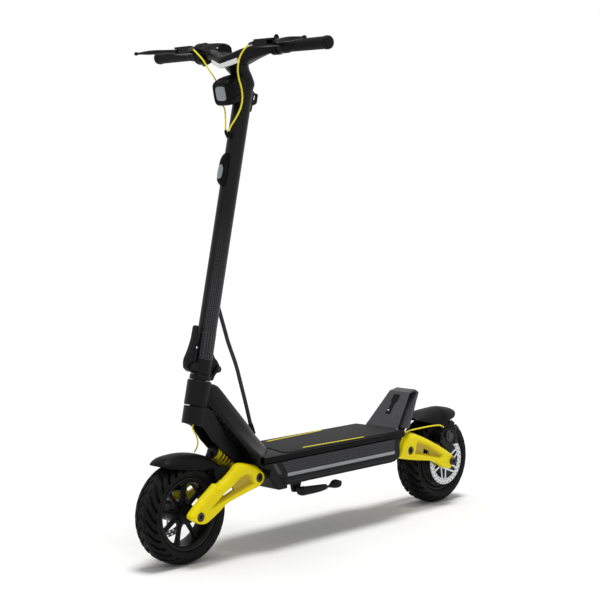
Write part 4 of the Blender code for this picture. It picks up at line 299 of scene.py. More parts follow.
# Grip rubber has coarse diamonds, from two wave patterns that cross on the UV map.
grip_rubber, shader, place = begin("grip_rubber", "#0d0d0e", 0.6)
shader.inputs["Specular IOR Level"].default_value = 0.12
diamonds = []
for lean in (SLANT, -SLANT):
    leaning = add(grip_rubber, "ShaderNodeMapping", {"Vector": place.outputs["UV"]},
                  {"Rotation": (0, 0, lean)})
    diamonds.append(add(grip_rubber, "ShaderNodeTexWave", {"Vector": leaning.outputs["Vector"]},
                        {"Scale": WAVE_MM / DIAMOND_MM}, wave_type="BANDS", bands_direction="X"))
cross = add(grip_rubber, "ShaderNodeMath", {0: diamonds[0].outputs["Fac"], 1: diamonds[1].outputs["Fac"]},
            operation="MULTIPLY")
ridges = add(grip_rubber, "ShaderNodeBump", {"Height": cross.outputs["Value"]},
             {"Strength": 0.8, "Distance": 0.0006})
plug(grip_rubber, ridges.outputs["Normal"], shader, "Normal")
# Painted shade: the rubber is darker where the two waves are low, in the grooves between the diamonds.
shade = add(grip_rubber, "ShaderNodeValToRGB", {"Fac": cross.outputs["Value"]})
shade.color_ramp.elements[0].color = linear("#080809")
shade.color_ramp.elements[1].color = linear("#161617")
plug(grip_rubber, shade.outputs["Color"], shader, "Base Color")
print("disc steel and grip rubber made")

# %% Grit mat with its two lines
# Silica grit in a bitumen-black binder glitters a little, and the lines are road-marking yellow.
GRIT_MM = 1.6
LINE_FRONT = 0.122
LINE_REAR = -0.102
LINE_AT_FRONT = 0.0675
LINE_AT_REAR = 0.0805
LINE_HALF_WIDTH = 0.0036

grit_mat, shader, place = begin("silica_grit_mat", "#141415", 0.75)
shader.inputs["Specular IOR Level"].default_value = 0.2
axes = add(grit_mat, "ShaderNodeSeparateXYZ", {"Vector": place.outputs["Object"]})
middle = add(grit_mat, "ShaderNodeMapRange", {"Value": axes.outputs["X"]},
             {"From Min": LINE_FRONT, "From Max": LINE_REAR,
              "To Min": LINE_AT_FRONT, "To Max": LINE_AT_REAR})
side = add(grit_mat, "ShaderNodeMath", {0: axes.outputs["Y"]}, operation="ABSOLUTE")
off = add(grit_mat, "ShaderNodeMath", {0: side.outputs["Value"], 1: middle.outputs["Result"]},
          operation="SUBTRACT")
width = add(grit_mat, "ShaderNodeMath", {0: off.outputs["Value"]}, {1: 0.0, 2: LINE_HALF_WIDTH},
            operation="COMPARE")
ahead = add(grit_mat, "ShaderNodeMath", {0: axes.outputs["X"]},
            {1: (LINE_FRONT + LINE_REAR) / 2, 2: (LINE_FRONT - LINE_REAR) / 2}, operation="COMPARE")
line = add(grit_mat, "ShaderNodeMath", {0: width.outputs["Value"], 1: ahead.outputs["Value"]},
           operation="MULTIPLY")
grains = add(grit_mat, "ShaderNodeTexVoronoi", {"Vector": place.outputs["Object"]},
             {"Scale": 1000.0 / GRIT_MM})
speck = add(grit_mat, "ShaderNodeValToRGB", {"Fac": grains.outputs["Distance"]})
speck.color_ramp.elements[0].color = linear("#232325")
speck.color_ramp.elements[1].color = linear("#0d0d0e")
paint = add(grit_mat, "ShaderNodeMix", {MIX_SHARE: line.outputs["Value"], MIX_FIRST: speck.outputs["Color"]},
            {MIX_SECOND: linear("#eada10")}, data_type="RGBA")
plug(grit_mat, paint.outputs[MIX_RESULT], shader, "Base Color")
tooth = add(grit_mat, "ShaderNodeBump", {"Height": grains.outputs["Distance"]},
            {"Strength": 0.7, "Distance": 0.0005})
plug(grit_mat, tooth.outputs["Normal"], shader, "Normal")
print("grit mat made, line width in mm:", LINE_HALF_WIDTH * 2000)

# %% Lens and braid
FLUTE_MM = 5.921763

# Polycarbonate over the lamp is pale grey and glossy, with upright flutes.
lens_flutes, shader, place = begin("fluted_polycarbonate", "#85898c", 0.16)
flutes = add(lens_flutes, "ShaderNodeTexWave", {"Vector": place.outputs["Object"]},
             {"Scale": WAVE_MM / FLUTE_MM}, wave_type="BANDS", bands_direction="Y")
# Painted shade and highlight: the lens is darker in the flutes' hollows and lighter on their ridges.
tone = add(lens_flutes, "ShaderNodeValToRGB", {"Fac": flutes.outputs["Fac"]})
tone.color_ramp.elements[0].color = linear("#6b6e71")
tone.color_ramp.elements[1].color = linear("#9b9ea1")
plug(lens_flutes, tone.outputs["Color"], shader, "Base Color")
ribs = add(lens_flutes, "ShaderNodeBump", {"Height": flutes.outputs["Fac"]},
           {"Strength": 0.6, "Distance": 0.0005})
plug(lens_flutes, ribs.outputs["Normal"], shader, "Normal")

# Nylon braid round the harness has threads that cross, drawn as coarse as the twill so that they show.
braid = twill("nylon_braid", "UV", (0, 0, SLANT))
print("lens and braid made")

# %% [markdown]
# ## Surfaces from grids
# Almost every piece is a grid of points: rows along the piece and columns round it. Numpy
# works out all points at once, neighbours in the grid become faces, and the sign of the
# enclosed volume says whether the faces point outwards. A piece is one or more such skins
# in one mesh, so a bolt and its socket, or a rim and its spokes, stay together.

# %% Skins and pieces
def skin(points, wrap=(False, True), caps=True):
    """Faces over a grid of points: each four neighbours make one, and wrapped sides join up.

    The volume is the sum of corner triple products; where it is negative all faces are turned.
    The UV map is in metres: the mean lengths of the steps between rows and columns, added up.
    """
    points = np.asarray(points, float)
    rows, columns = points.shape[:2]
    i, j = np.meshgrid(np.arange(rows - (not wrap[0])), np.arange(columns - (not wrap[1])), indexing="ij")
    corners = [(i, j), (i + 1, j), (i + 1, j + 1), (i, j + 1)]
    faces = np.stack([(a % rows) * columns + b % columns for a, b in corners], -1).reshape(-1, 4)
    steps = [np.linalg.norm(np.roll(points, -1, axis) - points, axis=2).mean(1 - axis) for axis in (0, 1)]
    u, v = (np.concatenate([[0], np.cumsum(step)]) for step in steps)
    uv = np.stack([np.stack([u[a], v[b]], -1) for a, b in corners], -2).reshape(-1, 4, 2)
    ends = []
    if caps and not wrap[0]:
        ends = [np.arange(columns), (rows - 1) * columns + np.arange(columns)[::-1]]
    flat = points.reshape(-1, 3)
    centred = flat - flat.mean(0)
    fans = [np.stack([np.full(columns - 2, end[0]), end[1:-1], end[2:]], -1) for end in ends]
    tris = np.vstack([faces[:, [0, 1, 2]], faces[:, [0, 2, 3]], *fans])
    a, b, c = (centred[tris[:, k]] for k in range(3))
    if np.einsum("ij,ij->", a, np.cross(b, c)) < 0:
        faces, uv, ends = faces[:, ::-1], uv[:, ::-1], [end[::-1] for end in ends]
    uv = np.vstack([uv.reshape(-1, 2)] + [np.zeros((columns, 2)) for _ in ends])
    return flat, faces.tolist() + [end.tolist() for end in ends], uv


def joined(name, parts):
    """Put skins, each with its finish, into one mesh with its UV map."""
    finishes = list(dict.fromkeys(finish for _, finish in parts))
    starts = np.cumsum([0] + [len(part[0]) for part, _ in parts])
    faces = [[corner + start for corner in face] for (part, _), start in zip(parts, starts)
             for face in part[1]]
    mesh = bpy.data.meshes.new(name)
    mesh.from_pydata(np.vstack([part[0] for part, _ in parts]), [], faces)
    for finish in finishes:
        mesh.materials.append(finish)
    slots = np.concatenate([np.full(len(part[1]), finishes.index(finish)) for part, finish in parts])
    mesh.polygons.foreach_set("material_index", slots.astype(np.int32))
    layer = mesh.uv_layers.new(name="surface")
    layer.data.foreach_set("uv", np.vstack([part[2] for part, _ in parts]).ravel().astype(np.float32))
    return mesh


def piece(name, parts, body=None, nodes=(), crease=38):
    """One object from skins, which rides on a body and stands for its nodes."""
    return placed(name, joined(name, parts), body, nodes, crease)


def placed(name, mesh, body, nodes, crease):
    """Shade a mesh smooth up to the crease angle, put it into the scene and let it ride."""
    mesh.shade_smooth()
    mesh.set_sharp_from_angle(angle=np.radians(crease))
    item = bpy.data.objects.new(name, mesh)
    bpy.context.scene.collection.objects.link(item)
    if body:
        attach(item, body)
    if nodes:
        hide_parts(*nodes)
    print(name, len(mesh.polygons), "faces")
    return item


print("skin and piece helpers ready")

# %% Curves, tubes and lathe forms
def even_curve(points, count):
    """Even points on a smooth curve: between two points a cubic whose end slopes are half the
    step between the neighbours (Catmull-Rom), then read off at equal lengths."""
    points = np.asarray(points, float)
    padded = np.vstack([2 * points[0] - points[1], points, 2 * points[-1] - points[-2]])
    t = np.linspace(0, 1, 24, endpoint=False)[None, :, None]
    p0, p1, p2, p3 = (padded[k:len(padded) - 3 + k, None] for k in range(4))
    straight = (p2 - p0) * t
    bend = (2 * p0 - 5 * p1 + 4 * p2 - p3) * t ** 2
    twist = (3 * p1 - p0 - 3 * p2 + p3) * t ** 3
    fine = p1 + (straight + bend + twist) / 2
    fine = np.vstack([fine.reshape(-1, points.shape[1]), points[-1]])
    run = np.concatenate([[0], np.cumsum(np.linalg.norm(np.diff(fine, axis=0), axis=1))])
    even = np.linspace(0, run[-1], count)
    return np.column_stack([np.interp(even, run, fine[:, k]) for k in range(fine.shape[1])])


def lofted(rings, count, **options):
    """A skin through rings of as many points each, with smooth rings put between them."""
    rings = np.asarray(rings, float)
    rows = even_curve(rings.reshape(len(rings), -1), count).reshape(count, -1, 3)
    return skin(rows, **options)


def tube(path, radius, sides=16, caps=True):
    """A round tube: at each point of the path a circle square to it, turned by the plane of the path.

    The circle's first direction is the path's direction crossed with the flattest direction of
    the whole path, which the path never runs along.
    """
    path = np.asarray(path, float)
    along = np.gradient(path, axis=0)
    along /= np.linalg.norm(along, axis=1, keepdims=True)
    flattest = np.linalg.svd(path - path.mean(0), full_matrices=False)[2][2]
    first = np.cross(along, flattest)
    first /= np.linalg.norm(first, axis=1, keepdims=True)
    second = np.cross(along, first)
    turn = np.linspace(0, 2 * np.pi, sides, endpoint=False)
    radius = np.broadcast_to(radius, len(path))[:, None, None]
    spokes = first[:, None] * np.cos(turn)[:, None] + second[:, None] * np.sin(turn)[:, None]
    return skin(path[:, None] + spokes * radius, caps=caps)


def turned(profile, centre, axis, sides=64, ring=False):
    """A lathe form: (radius, along) points carried round an axis. ring closes the profile on itself."""
    profile = np.asarray(profile, float)
    axis = np.asarray(axis, float) / np.linalg.norm(axis)
    helper = np.array([1.0, 0, 0]) if abs(axis[0]) < 0.6 else np.array([0, 1.0, 0])
    first = np.cross(helper, axis)
    first /= np.linalg.norm(first)
    second = np.cross(axis, first)
    turn = np.linspace(0, 2 * np.pi, sides, endpoint=False)
    spokes = first * np.cos(turn)[:, None] + second * np.sin(turn)[:, None]
    points = np.asarray(centre) + profile[:, None, :1] * spokes + profile[:, None, 1:] * axis
    return skin(points, wrap=(ring, True), caps=not ring)


print("curve helpers ready")

# %% Plates and rings
def rounded(outline, radius, steps=5):
    """Round an outline's corners: a parabola takes the place of each, from a radius before to one after."""
    outline = np.asarray(outline, float)
    before = np.roll(outline, 1, axis=0) - outline
    after = np.roll(outline, -1, axis=0) - outline
    length_before = np.linalg.norm(before, axis=1, keepdims=True)
    length_after = np.linalg.norm(after, axis=1, keepdims=True)
    reach = np.minimum(radius, 0.48 * np.minimum(length_before, length_after))
    a = (outline + before / length_before * reach)[:, None]
    b = (outline + after / length_after * reach)[:, None]
    t = np.linspace(0, 1, steps)[None, :, None]
    return ((1 - t) ** 2 * a + 2 * t * (1 - t) * outline[:, None] + t ** 2 * b).reshape(-1, 2)


def slab(outline, low, high, edge, place, corner=0.0):
    """A plate with rounded edges: the outline drawn in by edge(1 - cos) while it climbs edge sin.

    place turns (first, second, height) arrays into points of the scooter.
    """
    outline = rounded(outline, corner) if corner else np.asarray(outline, float)
    step = np.roll(outline, -1, axis=0) - np.roll(outline, 1, axis=0)
    normal = np.stack([step[:, 1], -step[:, 0]], -1) / np.linalg.norm(step, axis=1, keepdims=True)
    x, y = outline.T
    area = np.sum(x * np.roll(y, -1) - y * np.roll(x, -1))
    normal *= np.sign(area)
    turn = np.linspace(0, np.pi / 2, 5)
    inset = np.concatenate([edge * (1 - np.sin(turn)), edge * (1 - np.cos(turn))])
    height = np.concatenate([low + edge * (1 - np.cos(turn)), high - edge * (1 - np.sin(turn))])
    flat = outline[None] - normal[None] * inset[:, None, None]
    return skin(place(flat[..., 0], flat[..., 1], np.broadcast_to(height[:, None], flat.shape[:2])))


def bead(outline, radius, place, level=0.0):
    """A round bead along a closed outline: a small circle carried round it, square to its sides."""
    step = np.roll(outline, -1, axis=0) - np.roll(outline, 1, axis=0)
    normal = np.stack([step[:, 1], -step[:, 0]], -1) / np.linalg.norm(step, axis=1, keepdims=True)
    turn = np.linspace(0, 2 * np.pi, 10, endpoint=False)
    flat = outline[:, None] + normal[:, None] * (radius * np.cos(turn))[:, None]
    rise = level + radius * np.sin(turn) + 0 * flat[..., 0]
    return skin(place(flat[..., 0], flat[..., 1], rise), wrap=(True, True))


def oval(centre, across, rise, half_across, half_rise, power, count=48):
    """A ring between an ellipse (power 2) and a rounded box: cosine and sine to the power 2 / power."""
    turn = np.linspace(0, 2 * np.pi, count, endpoint=False)
    c, s = np.cos(turn), np.sin(turn)
    c, s = np.sign(c) * np.abs(c) ** (2 / power), np.sign(s) * np.abs(s) ** (2 / power)
    return np.asarray(centre) + np.outer(c * half_across, across) + np.outer(s * half_rise, rise)


X, Y, Z = np.eye(3)


def plan(x, y, z):
    """Points of an outline that is drawn from above."""
    return np.stack([x, y, z], -1)


def side_on(x, z, y):
    """Points of an outline that is drawn from the side, with its height across the scooter."""
    return np.stack([x, y, z], -1)


def pair_of_plates(outline, near, far, edge, place, corner=0.0):
    """A left and a right plate: the same outline between two distances from the middle plane."""
    return [slab(outline, *sorted((side * near, side * far)), edge, place, corner) for side in (1, -1)]


print("plate helpers ready")

# %% [markdown]
# ## Cables
# Two yellow brake cables loop from the levers into the stem, a braided harness runs behind
# the stem into the neck, and a short yellow cable goes to each brake. A curve object with a
# bevel would do, but a tube on a numpy path gives a UV map in metres. The harness crosses
# the steering and the fold, so it is made as two lengths.

# %% Cable routes
FRONT_AXLE = np.array([0.48875, 0, 0.1275])
REAR_AXLE = np.array([-0.48875, 0, 0.1275])
STEER_BASE = np.array([0.49315, 0, 0.1275])
STEER_UP = np.array([-0.221548, 0, 0.975149])
STEER_BACK = np.array([-0.975149, 0, -0.221548])


def steer(back, along, side):
    """Points given behind the steering axis, along it and to the left of it."""
    back, along, side = np.broadcast_arrays(back, along, side)
    return STEER_BASE + back[..., None] * STEER_BACK + along[..., None] * STEER_UP + side[..., None] * Y


CABLE_RADIUS = 0.0020
LEFT_CABLE = [
    (0.3320, 0.1176, 1.2840), (0.3320, 0.1080, 1.2840), (0.3370, 0.0940, 1.2740), (0.3420, 0.0800, 1.2530),
    (0.3410, 0.0710, 1.2280), (0.3380, 0.0700, 1.2040), (0.3340, 0.0760, 1.1750), (0.3300, 0.0740, 1.1510),
    (0.3260, 0.0620, 1.1270), (0.3220, 0.0400, 1.1040), (0.3190, 0.0180, 1.0840), (0.3150, 0.0065, 1.0690),
    (0.3072, 0.0045, 1.0590)]
RIGHT_CABLE = [
    (0.3320, -0.1176, 1.2840), (0.3320, -0.1060, 1.2840), (0.3345, -0.0850, 1.2710),
    (0.3350, -0.0620, 1.2520), (0.3330, -0.0450, 1.2290), (0.3210, -0.0400, 1.2110),
    (0.3080, -0.0410, 1.1930), (0.3020, -0.0410, 1.1700), (0.3030, -0.0320, 1.1460),
    (0.3070, -0.0160, 1.1290), (0.3120, -0.0080, 1.1050), (0.3145, -0.0055, 1.0830),
    (0.3140, -0.0048, 1.0690), (0.3072, -0.0045, 1.0590)]
FRONT_CABLE = [
    steer(0.0040, 0.2210, -0.0030), steer(0.0045, 0.2120, -0.0040), (0.4280, -0.0070, 0.3130),
    (0.4200, -0.0100, 0.2990), (0.4190, -0.0120, 0.2860), (0.4240, -0.0130, 0.2755),
    (0.4290, -0.0130, 0.2705)]
REAR_CABLE = [
    (-0.2686, 0.0700, 0.2365), (-0.2850, 0.0700, 0.2375), (-0.3060, 0.0700, 0.2400),
    (-0.3540, 0.0680, 0.2405), (-0.4010, 0.0660, 0.2400), (-0.4360, 0.0630, 0.2380),
    (-0.4580, 0.0600, 0.2340), (-0.4720, 0.0580, 0.2270)]


# Sleeves at a cable's two ends: length and radius.
PERCH_SLEEVE = (0.016, 0.0038)
STEM_SLEEVE = (0.020, 0.0036)


def ferrule(path, length, radius):
    """The black end sleeve of a cable: a short tube round the first points of its path, with a collar."""
    run = np.concatenate([[0], np.cumsum(np.linalg.norm(np.diff(path, axis=0), axis=1))])
    some = path[run <= length]
    share = np.linspace(0, 1, len(some))
    return tube(some, radius * np.where(share < 0.25, 1.25, np.where(share > 0.9, 0.85, 1.0)), 18)


for name, node, route in (("left_brake_cable", "brake_cable_left", LEFT_CABLE),
                          ("right_brake_cable", "brake_cable_right", RIGHT_CABLE)):
    path = even_curve(route, 220)
    piece(name, [(tube(path, CABLE_RADIUS), cable_jacket),
                 (ferrule(path, *PERCH_SLEEVE), black_oxide),
                 (ferrule(path[::-1], *STEM_SLEEVE), moulded_nylon)], "stem", [node])

path = even_curve(FRONT_CABLE, 90)
front_cable = piece("front_brake_hose", [(tube(path, CABLE_RADIUS), cable_jacket)],
                    nodes=["front_brake_cable"])
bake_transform(front_cable)
path = even_curve(REAR_CABLE, 120)
rear_cable = piece("rear_brake_hose", [(tube(path, CABLE_RADIUS), cable_jacket)],
                   nodes=["rear_brake_cable"])
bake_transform(rear_cable)

# %% Harness behind the stem
HARNESS_RADIUS = 0.0052
HARNESS_SIDES = 20
HARNESS_SPLIT_HEIGHT = 0.47
HARNESS = np.array([
    (0.3630, 0.6720), (0.3570, 0.6450), (0.3480, 0.6180), (0.3400, 0.5950), (0.3310, 0.5690),
    (0.3220, 0.5430), (0.3110, 0.5170), (0.2990, 0.4900), (0.2890, 0.4630), (0.2810, 0.4370),
    (0.2630, 0.3790), (0.2480, 0.3270), (0.2387, 0.2956)])
HARNESS = np.column_stack([HARNESS[:, 0], np.zeros(len(HARNESS)), HARNESS[:, 1]])
path = even_curve(HARNESS, 200)
split = int(np.argmin(np.abs(path[:, 2] - HARNESS_SPLIT_HEIGHT)))
upper = piece("upper_harness", [(tube(path[:split + 1], HARNESS_RADIUS, HARNESS_SIDES), braid)],
              nodes=["main_cable"])
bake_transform(upper)
lower = piece("lower_harness", [(tube(path[split:], HARNESS_RADIUS, HARNESS_SIDES), braid)],
              nodes=["main_cable"])
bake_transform(lower)

# A long oval ring of rubber lines the slot in the stem, and a tapered gland closes the hole in the neck.
turn = np.linspace(0, 2 * np.pi, 49)
boot = steer(0.0232 - 0.0006 * np.cos(2 * turn), 0.538 + 0.0345 * np.sin(turn), 0.0068 * np.cos(turn))
piece("harness_boot", [(tube(boot, 0.0022, 10), tyre_rubber)], "stem")
foot = even_curve([path[-1] + (0, 0, -0.002), path[-6], path[-14]], 12)
piece("harness_gland", [(tube(foot, np.linspace(0.0085, 0.0062, 12), 20), tyre_rubber)], "frame")

# %% [markdown]
# ## Springs
# Each suspension has a yellow coil spring. A Screw modifier could wind one, but a helix is
# one line of numpy: the angle grows evenly, and the pitch is small in the first and last
# three quarters of a turn, so that the ends lie flat in their seats as on a real spring.

# %% Coil springs
def coil(start, end, radius, wire, curls):
    """A helix from start to end: cosine and sine round the axis, rising slowly at both flat ends."""
    start, end = np.asarray(start), np.asarray(end)
    length = np.linalg.norm(end - start)
    axis = (end - start) / length
    first = np.cross(Y, axis)
    turns = np.linspace(0, curls + 1.5, int((curls + 1.5) * 36))
    rise = np.interp(turns, [0, 0.75, curls + 0.75, curls + 1.5],
                     [wire * 0.55, wire * 1.0, length - wire * 1.0, length - wire * 0.55])
    angle = 2 * np.pi * turns[:, None]
    round_axis = first * np.cos(angle) + np.cross(axis, first) * np.sin(angle)
    return tube(start + axis * rise[:, None] + round_axis * radius, wire / 2, 14)


SPRING_WIRE = 0.0052
SPRING_CURLS = 5
FRONT_COIL_RADIUS = 0.0175
REAR_COIL_RADIUS = 0.0135
FRONT_SPRING_TOP = np.array([0.376, 0, 0.2665])
FRONT_SPRING_END = np.array([0.315, 0, 0.2335])
REAR_SPRING_FRONT = np.array([-0.242, 0, 0.219])
REAR_SPRING_REAR = np.array([-0.295, 0, 0.219])
wound = coil(FRONT_SPRING_TOP, FRONT_SPRING_END, FRONT_COIL_RADIUS, SPRING_WIRE, SPRING_CURLS)
front_coil = piece("front_coil", [(wound, spring_lacquer)], nodes=["front_spring"])
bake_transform(front_coil)
wound = coil(REAR_SPRING_FRONT, REAR_SPRING_REAR, REAR_COIL_RADIUS, SPRING_WIRE, SPRING_CURLS)
rear_coil = piece("rear_coil", [(wound, spring_lacquer)], nodes=["rear_spring"])
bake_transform(rear_coil)

# %% [markdown]
# ## Tyres
# The tyres are ten inches across, with plain sidewalls and blocks on the tread. The grid
# runs round the wheel and round the section. The grooves are the same section pushed in
# where a wave along the tread says so, which needs no cutting and keeps the mesh closed.

# %% Tyres
TREAD_BLOCKS = 27
TREAD_POINTS = 30
GROOVE_DEPTH = 0.0058
SIPE_DEPTH = 0.0036
CHANNEL_DEPTH = 0.0038
TYRE_OUTSIDE = [(0.1275, 0.0), (0.1272, 0.0135), (0.1238, 0.0262), (0.1168, 0.0348), (0.1085, 0.0376),
                (0.0990, 0.0362), (0.0935, 0.0318), (0.0912, 0.0268)]
TYRE_INSIDE = [(0.0841, 0.0262), (0.0841, 0.0203), (0.0932, 0.0203), (0.108, 0.0316), (0.1215, 0.0145)]


def ramp(value, low, high):
    """Rises smoothly from 0 at low to 1 at high: 3t squared less 2t cubed."""
    t = np.clip((value - low) / (high - low), 0, 1)
    return t * t * (3 - 2 * t)


def bump_at(value, middle, width):
    """A bell curve: e to the power of minus the square of the distance in widths."""
    return np.exp(-((value - middle) / width) ** 2)


def tyre(axle, around=640):
    """Section points (radius, across) carried round the axle, less the depth of the grooves.

    A shoulder groove is where the fraction of (block number + slant across) is near a half.
    The two shoulders are half a block apart, and a narrow channel runs round beside each of them.
    """
    half = np.vstack([even_curve(TYRE_OUTSIDE, 44), TYRE_INSIDE])
    section = np.vstack([half, half[:0:-1] * (1, -1)])
    radius, across = section.T
    tread = np.zeros(len(section))
    tread[:TREAD_POINTS] = 1
    tread[1 - TREAD_POINTS:] = 1
    wide = np.abs(across)
    shoulder = ramp(wide, 0.0150, 0.0165) * ramp(radius, 0.1085, 0.1120) * tread
    centre = (1 - ramp(wide, 0.0105, 0.0120)) * tread
    channel = ramp(wide, 0.0110, 0.0120) * (1 - ramp(wide, 0.0145, 0.0155)) * tread
    turn = np.linspace(0, 2 * np.pi, around, endpoint=False)[:, None]
    blocks = TREAD_BLOCKS * turn / (2 * np.pi) + 0.25 * np.sign(across)
    phase = np.mod(blocks + (wide - 0.012) * 18 + ((wide - 0.012) * 36) ** 2, 1.0)
    middle = np.mod(TREAD_BLOCKS * turn / (2 * np.pi) + wide * 40, 1.0)
    groove = 1 - ramp(np.abs(phase - 0.5), 0.12, 0.18)
    sipe = 1 - ramp(np.abs(middle - 0.5), 0.07, 0.13)
    depth = GROOVE_DEPTH * groove * shoulder + SIPE_DEPTH * sipe * centre + CHANNEL_DEPTH * channel
    rib = 0.0005 * bump_at(radius, 0.1010, 0.0008) - 0.0004 * bump_at(radius, 0.0965, 0.0010)
    reach = radius - depth + 0 * turn
    points = np.stack([axle[0] + reach * np.cos(turn),
                       across * (1 - 32 * depth * shoulder) + np.sign(across) * rib + 0 * turn,
                       axle[2] + reach * np.sin(turn)], -1)
    return skin(points, wrap=(True, True))


piece("front_tread", [(tyre(FRONT_AXLE), tyre_rubber)], "front_wheel", ["front_tyre"], crease=60)
piece("rear_tread", [(tyre(REAR_AXLE), tyre_rubber)], "rear_wheel", ["rear_tyre"], crease=60)

# %% [markdown]
# ## Rims and hub motor
# The front rim is cast with eight slim spokes, and the rear wheel is a hub motor whose shell
# is the rim. Rings and shells are lathe forms. A spoke is a rounded bar that widens into the
# hub and the rim, as it must in a casting so that metal can flow there.

# %% Front rim
SPOKES = 8
RIM_TURN = np.radians(12)
BARREL = [(0.0902, 0.0289), (0.0898, 0.0297), (0.0865, 0.0297), (0.0855, 0.0290), (0.0800, 0.0250),
          (0.0795, 0.0240), (0.0795, -0.0240), (0.0800, -0.0250), (0.0855, -0.0290), (0.0865, -0.0297),
          (0.0898, -0.0297), (0.0902, -0.0289), (0.0902, -0.0268), (0.0897, -0.0265), (0.0838, -0.0265),
          (0.0838, 0.0265), (0.0897, 0.0265), (0.0902, 0.0268)]
HUB = [(0.0064, -0.0500), (0.0235, -0.0500), (0.0240, -0.0495), (0.0240, -0.030), (0.0260, -0.024),
       (0.0260, 0.0262), (0.0250, 0.0277), (0.0170, 0.0290), (0.0160, 0.0270), (0.0064, 0.0270)]


def spoke(axle, angle):
    """A bar from hub to rim: rounded boxes, wider by the fourth power of the way from its middle."""
    reach = np.linspace(0.0235, 0.0812, 16)
    out = np.array([np.cos(angle), 0, np.sin(angle)])
    round_way = np.array([-np.sin(angle), 0, np.cos(angle)])
    bend = ((reach - 0.052) / 0.029) ** 4
    rings = [oval(axle + out * r, round_way, Y, 0.0048 + 0.0050 * b, 0.0070 + 0.0022 * b, 3.2, 24)
             for r, b in zip(reach, bend)]
    return skin(np.array(rings))


rim = [(turned(BARREL, FRONT_AXLE, Y, 128, ring=True), powder_coat),
       (turned(HUB, FRONT_AXLE, Y, 64, ring=True), powder_coat)]
LIP = np.array([(0.0888, 0.0296), (0.0893, 0.0302), (0.0899, 0.0302), (0.0904, 0.0296), (0.0900, 0.0290)])
rim += [(turned(LIP * (1, side), FRONT_AXLE, Y, 128, ring=True), black_oxide) for side in (1, -1)]
rim += [(spoke(FRONT_AXLE, 2 * np.pi * (k + 0.5) / SPOKES - RIM_TURN), powder_coat) for k in range(SPOKES)]
piece("front_cast_rim", rim, "front_wheel", ["front_rim"])

# %% Hub motor
SHELL = BARREL[:6] + [(0.0790, 0.0240), (0.0768, 0.0235), (0.0768, -0.0230), (0.0200, -0.0260),
                      (0.0066, -0.0260), (0.0066, -0.0335), (0.0240, -0.0337), (0.0262, -0.0330),
                      (0.0600, -0.0318), (0.0700, -0.0310), (0.0716, -0.0288),
                      (0.0790, -0.0270)] + BARREL[8:]
COVER = [(0.0066, 0.0262), (0.0795, 0.0262), (0.0797, 0.0285), (0.0780, 0.0298), (0.0700, 0.0300),
         (0.0688, 0.0316), (0.0350, 0.0345), (0.0255, 0.0358), (0.0240, 0.0372), (0.0240, 0.0496),
         (0.0232, 0.0500), (0.0066, 0.0500)]


def cap_screws(axle, count, circle, level, side):
    """Small domed screws in a ring: one lathe form, repeated round the axle."""
    dome = np.array([(0.0, 0.0016), (0.0010, 0.0016), (0.0012, 0.0022), (0.0022, 0.0022), (0.0029, 0.0014),
                     (0.0030, -0.0010)]) * (1, side)
    angles = 2 * np.pi * (np.arange(count) + 0.5) / count
    spots = [axle + circle * np.array([np.cos(a), 0, np.sin(a)]) + Y * level for a in angles]
    return [(turned(dome, spot, Y, 12), black_oxide) for spot in spots]


piece("motor_drum", [(turned(SHELL, REAR_AXLE, Y, 128, ring=True), powder_coat)]
      + cap_screws(REAR_AXLE, 6, 0.064, -0.0310, -1), "rear_wheel", ["motor_shell"])
piece("motor_end_plate", [(turned(COVER, REAR_AXLE, Y, 128, ring=True), powder_coat)]
      + cap_screws(REAR_AXLE, 9, 0.0735, 0.0296, 1), "rear_wheel", ["motor_cover"])

# %% [markdown]
# ## Brake discs
# A brake disc is a thin steel band with two rows of holes on arms that lean back from a
# small carrier. Booleans for sixty holes are slow and leave long thin faces. Here each
# hole has its own small cell: four rings of points from the cell's square border to the
# hole's edge, through the hole and back out on the other face.

# %% Brake discs
DISC_PLANE = 0.0513
DISC_HALF_THICK = 0.001
DISC_INNER, DISC_MIDDLE, DISC_OUTER = 0.0542, 0.0624, 0.0706
DISC_HOLES = 30
DISC_ARMS = 6
DISC_UV_RADIUS = 0.06


def drilled_band(axle, plane, inner, outer, cells, hole, shift):
    """Cells round a band: a circle grown to a square by dividing by the larger of |cos| and |sin|.

    Each cell's rings are border, hole, hole, border, the first two on the near face.
    """
    turn = np.linspace(0, 2 * np.pi, 16, endpoint=False)
    circle = np.stack([np.cos(turn), np.sin(turn)], -1)
    square = circle / np.abs(circle).max(1, keepdims=True)
    middle, half = (inner + outer) / 2, (outer - inner) / 2
    step = np.pi / cells
    border = square * (step, half)
    edge = circle * (hole / middle, hole)
    rings = np.stack([border, edge, edge, border])
    level = np.array([1, 1, -1, -1])[:, None] * DISC_HALF_THICK
    angle = (np.arange(cells) + shift)[:, None, None] * 2 * step + rings[..., 0]
    radius = np.broadcast_to(middle + rings[..., 1], angle.shape)
    points = np.stack([axle[0] + radius * np.cos(angle), plane + level + 0 * angle,
                       axle[2] + radius * np.sin(angle)], -1)
    parts = [skin(cell, caps=False) for cell in points]
    count = points.shape[1] * points.shape[2]
    flat = np.vstack([part[0] for part in parts])
    faces = [[corner + k * count for corner in face] for k, part in enumerate(parts) for face in part[1]]
    spot = flat - axle
    angle, radius = np.arctan2(spot[:, 2], spot[:, 0]), np.hypot(spot[:, 0], spot[:, 2])
    uv_all = np.stack([angle * DISC_UV_RADIUS, radius], -1)
    return flat, faces, uv_all[np.concatenate(faces)]


def bar_between(start, end, width, thick):
    """A flat bar between two points of a disc: four corners at each end, and a narrower middle."""
    along = (end - start) / np.linalg.norm(end - start)
    wide = np.cross(along, Y) * width / 2
    deep = Y * thick / 2
    ring = np.array([wide + deep, -wide + deep, -wide - deep, wide - deep])
    return skin(np.stack([start + ring, (start + end) / 2 + ring * (0.86, 1, 0.86), end + ring]))


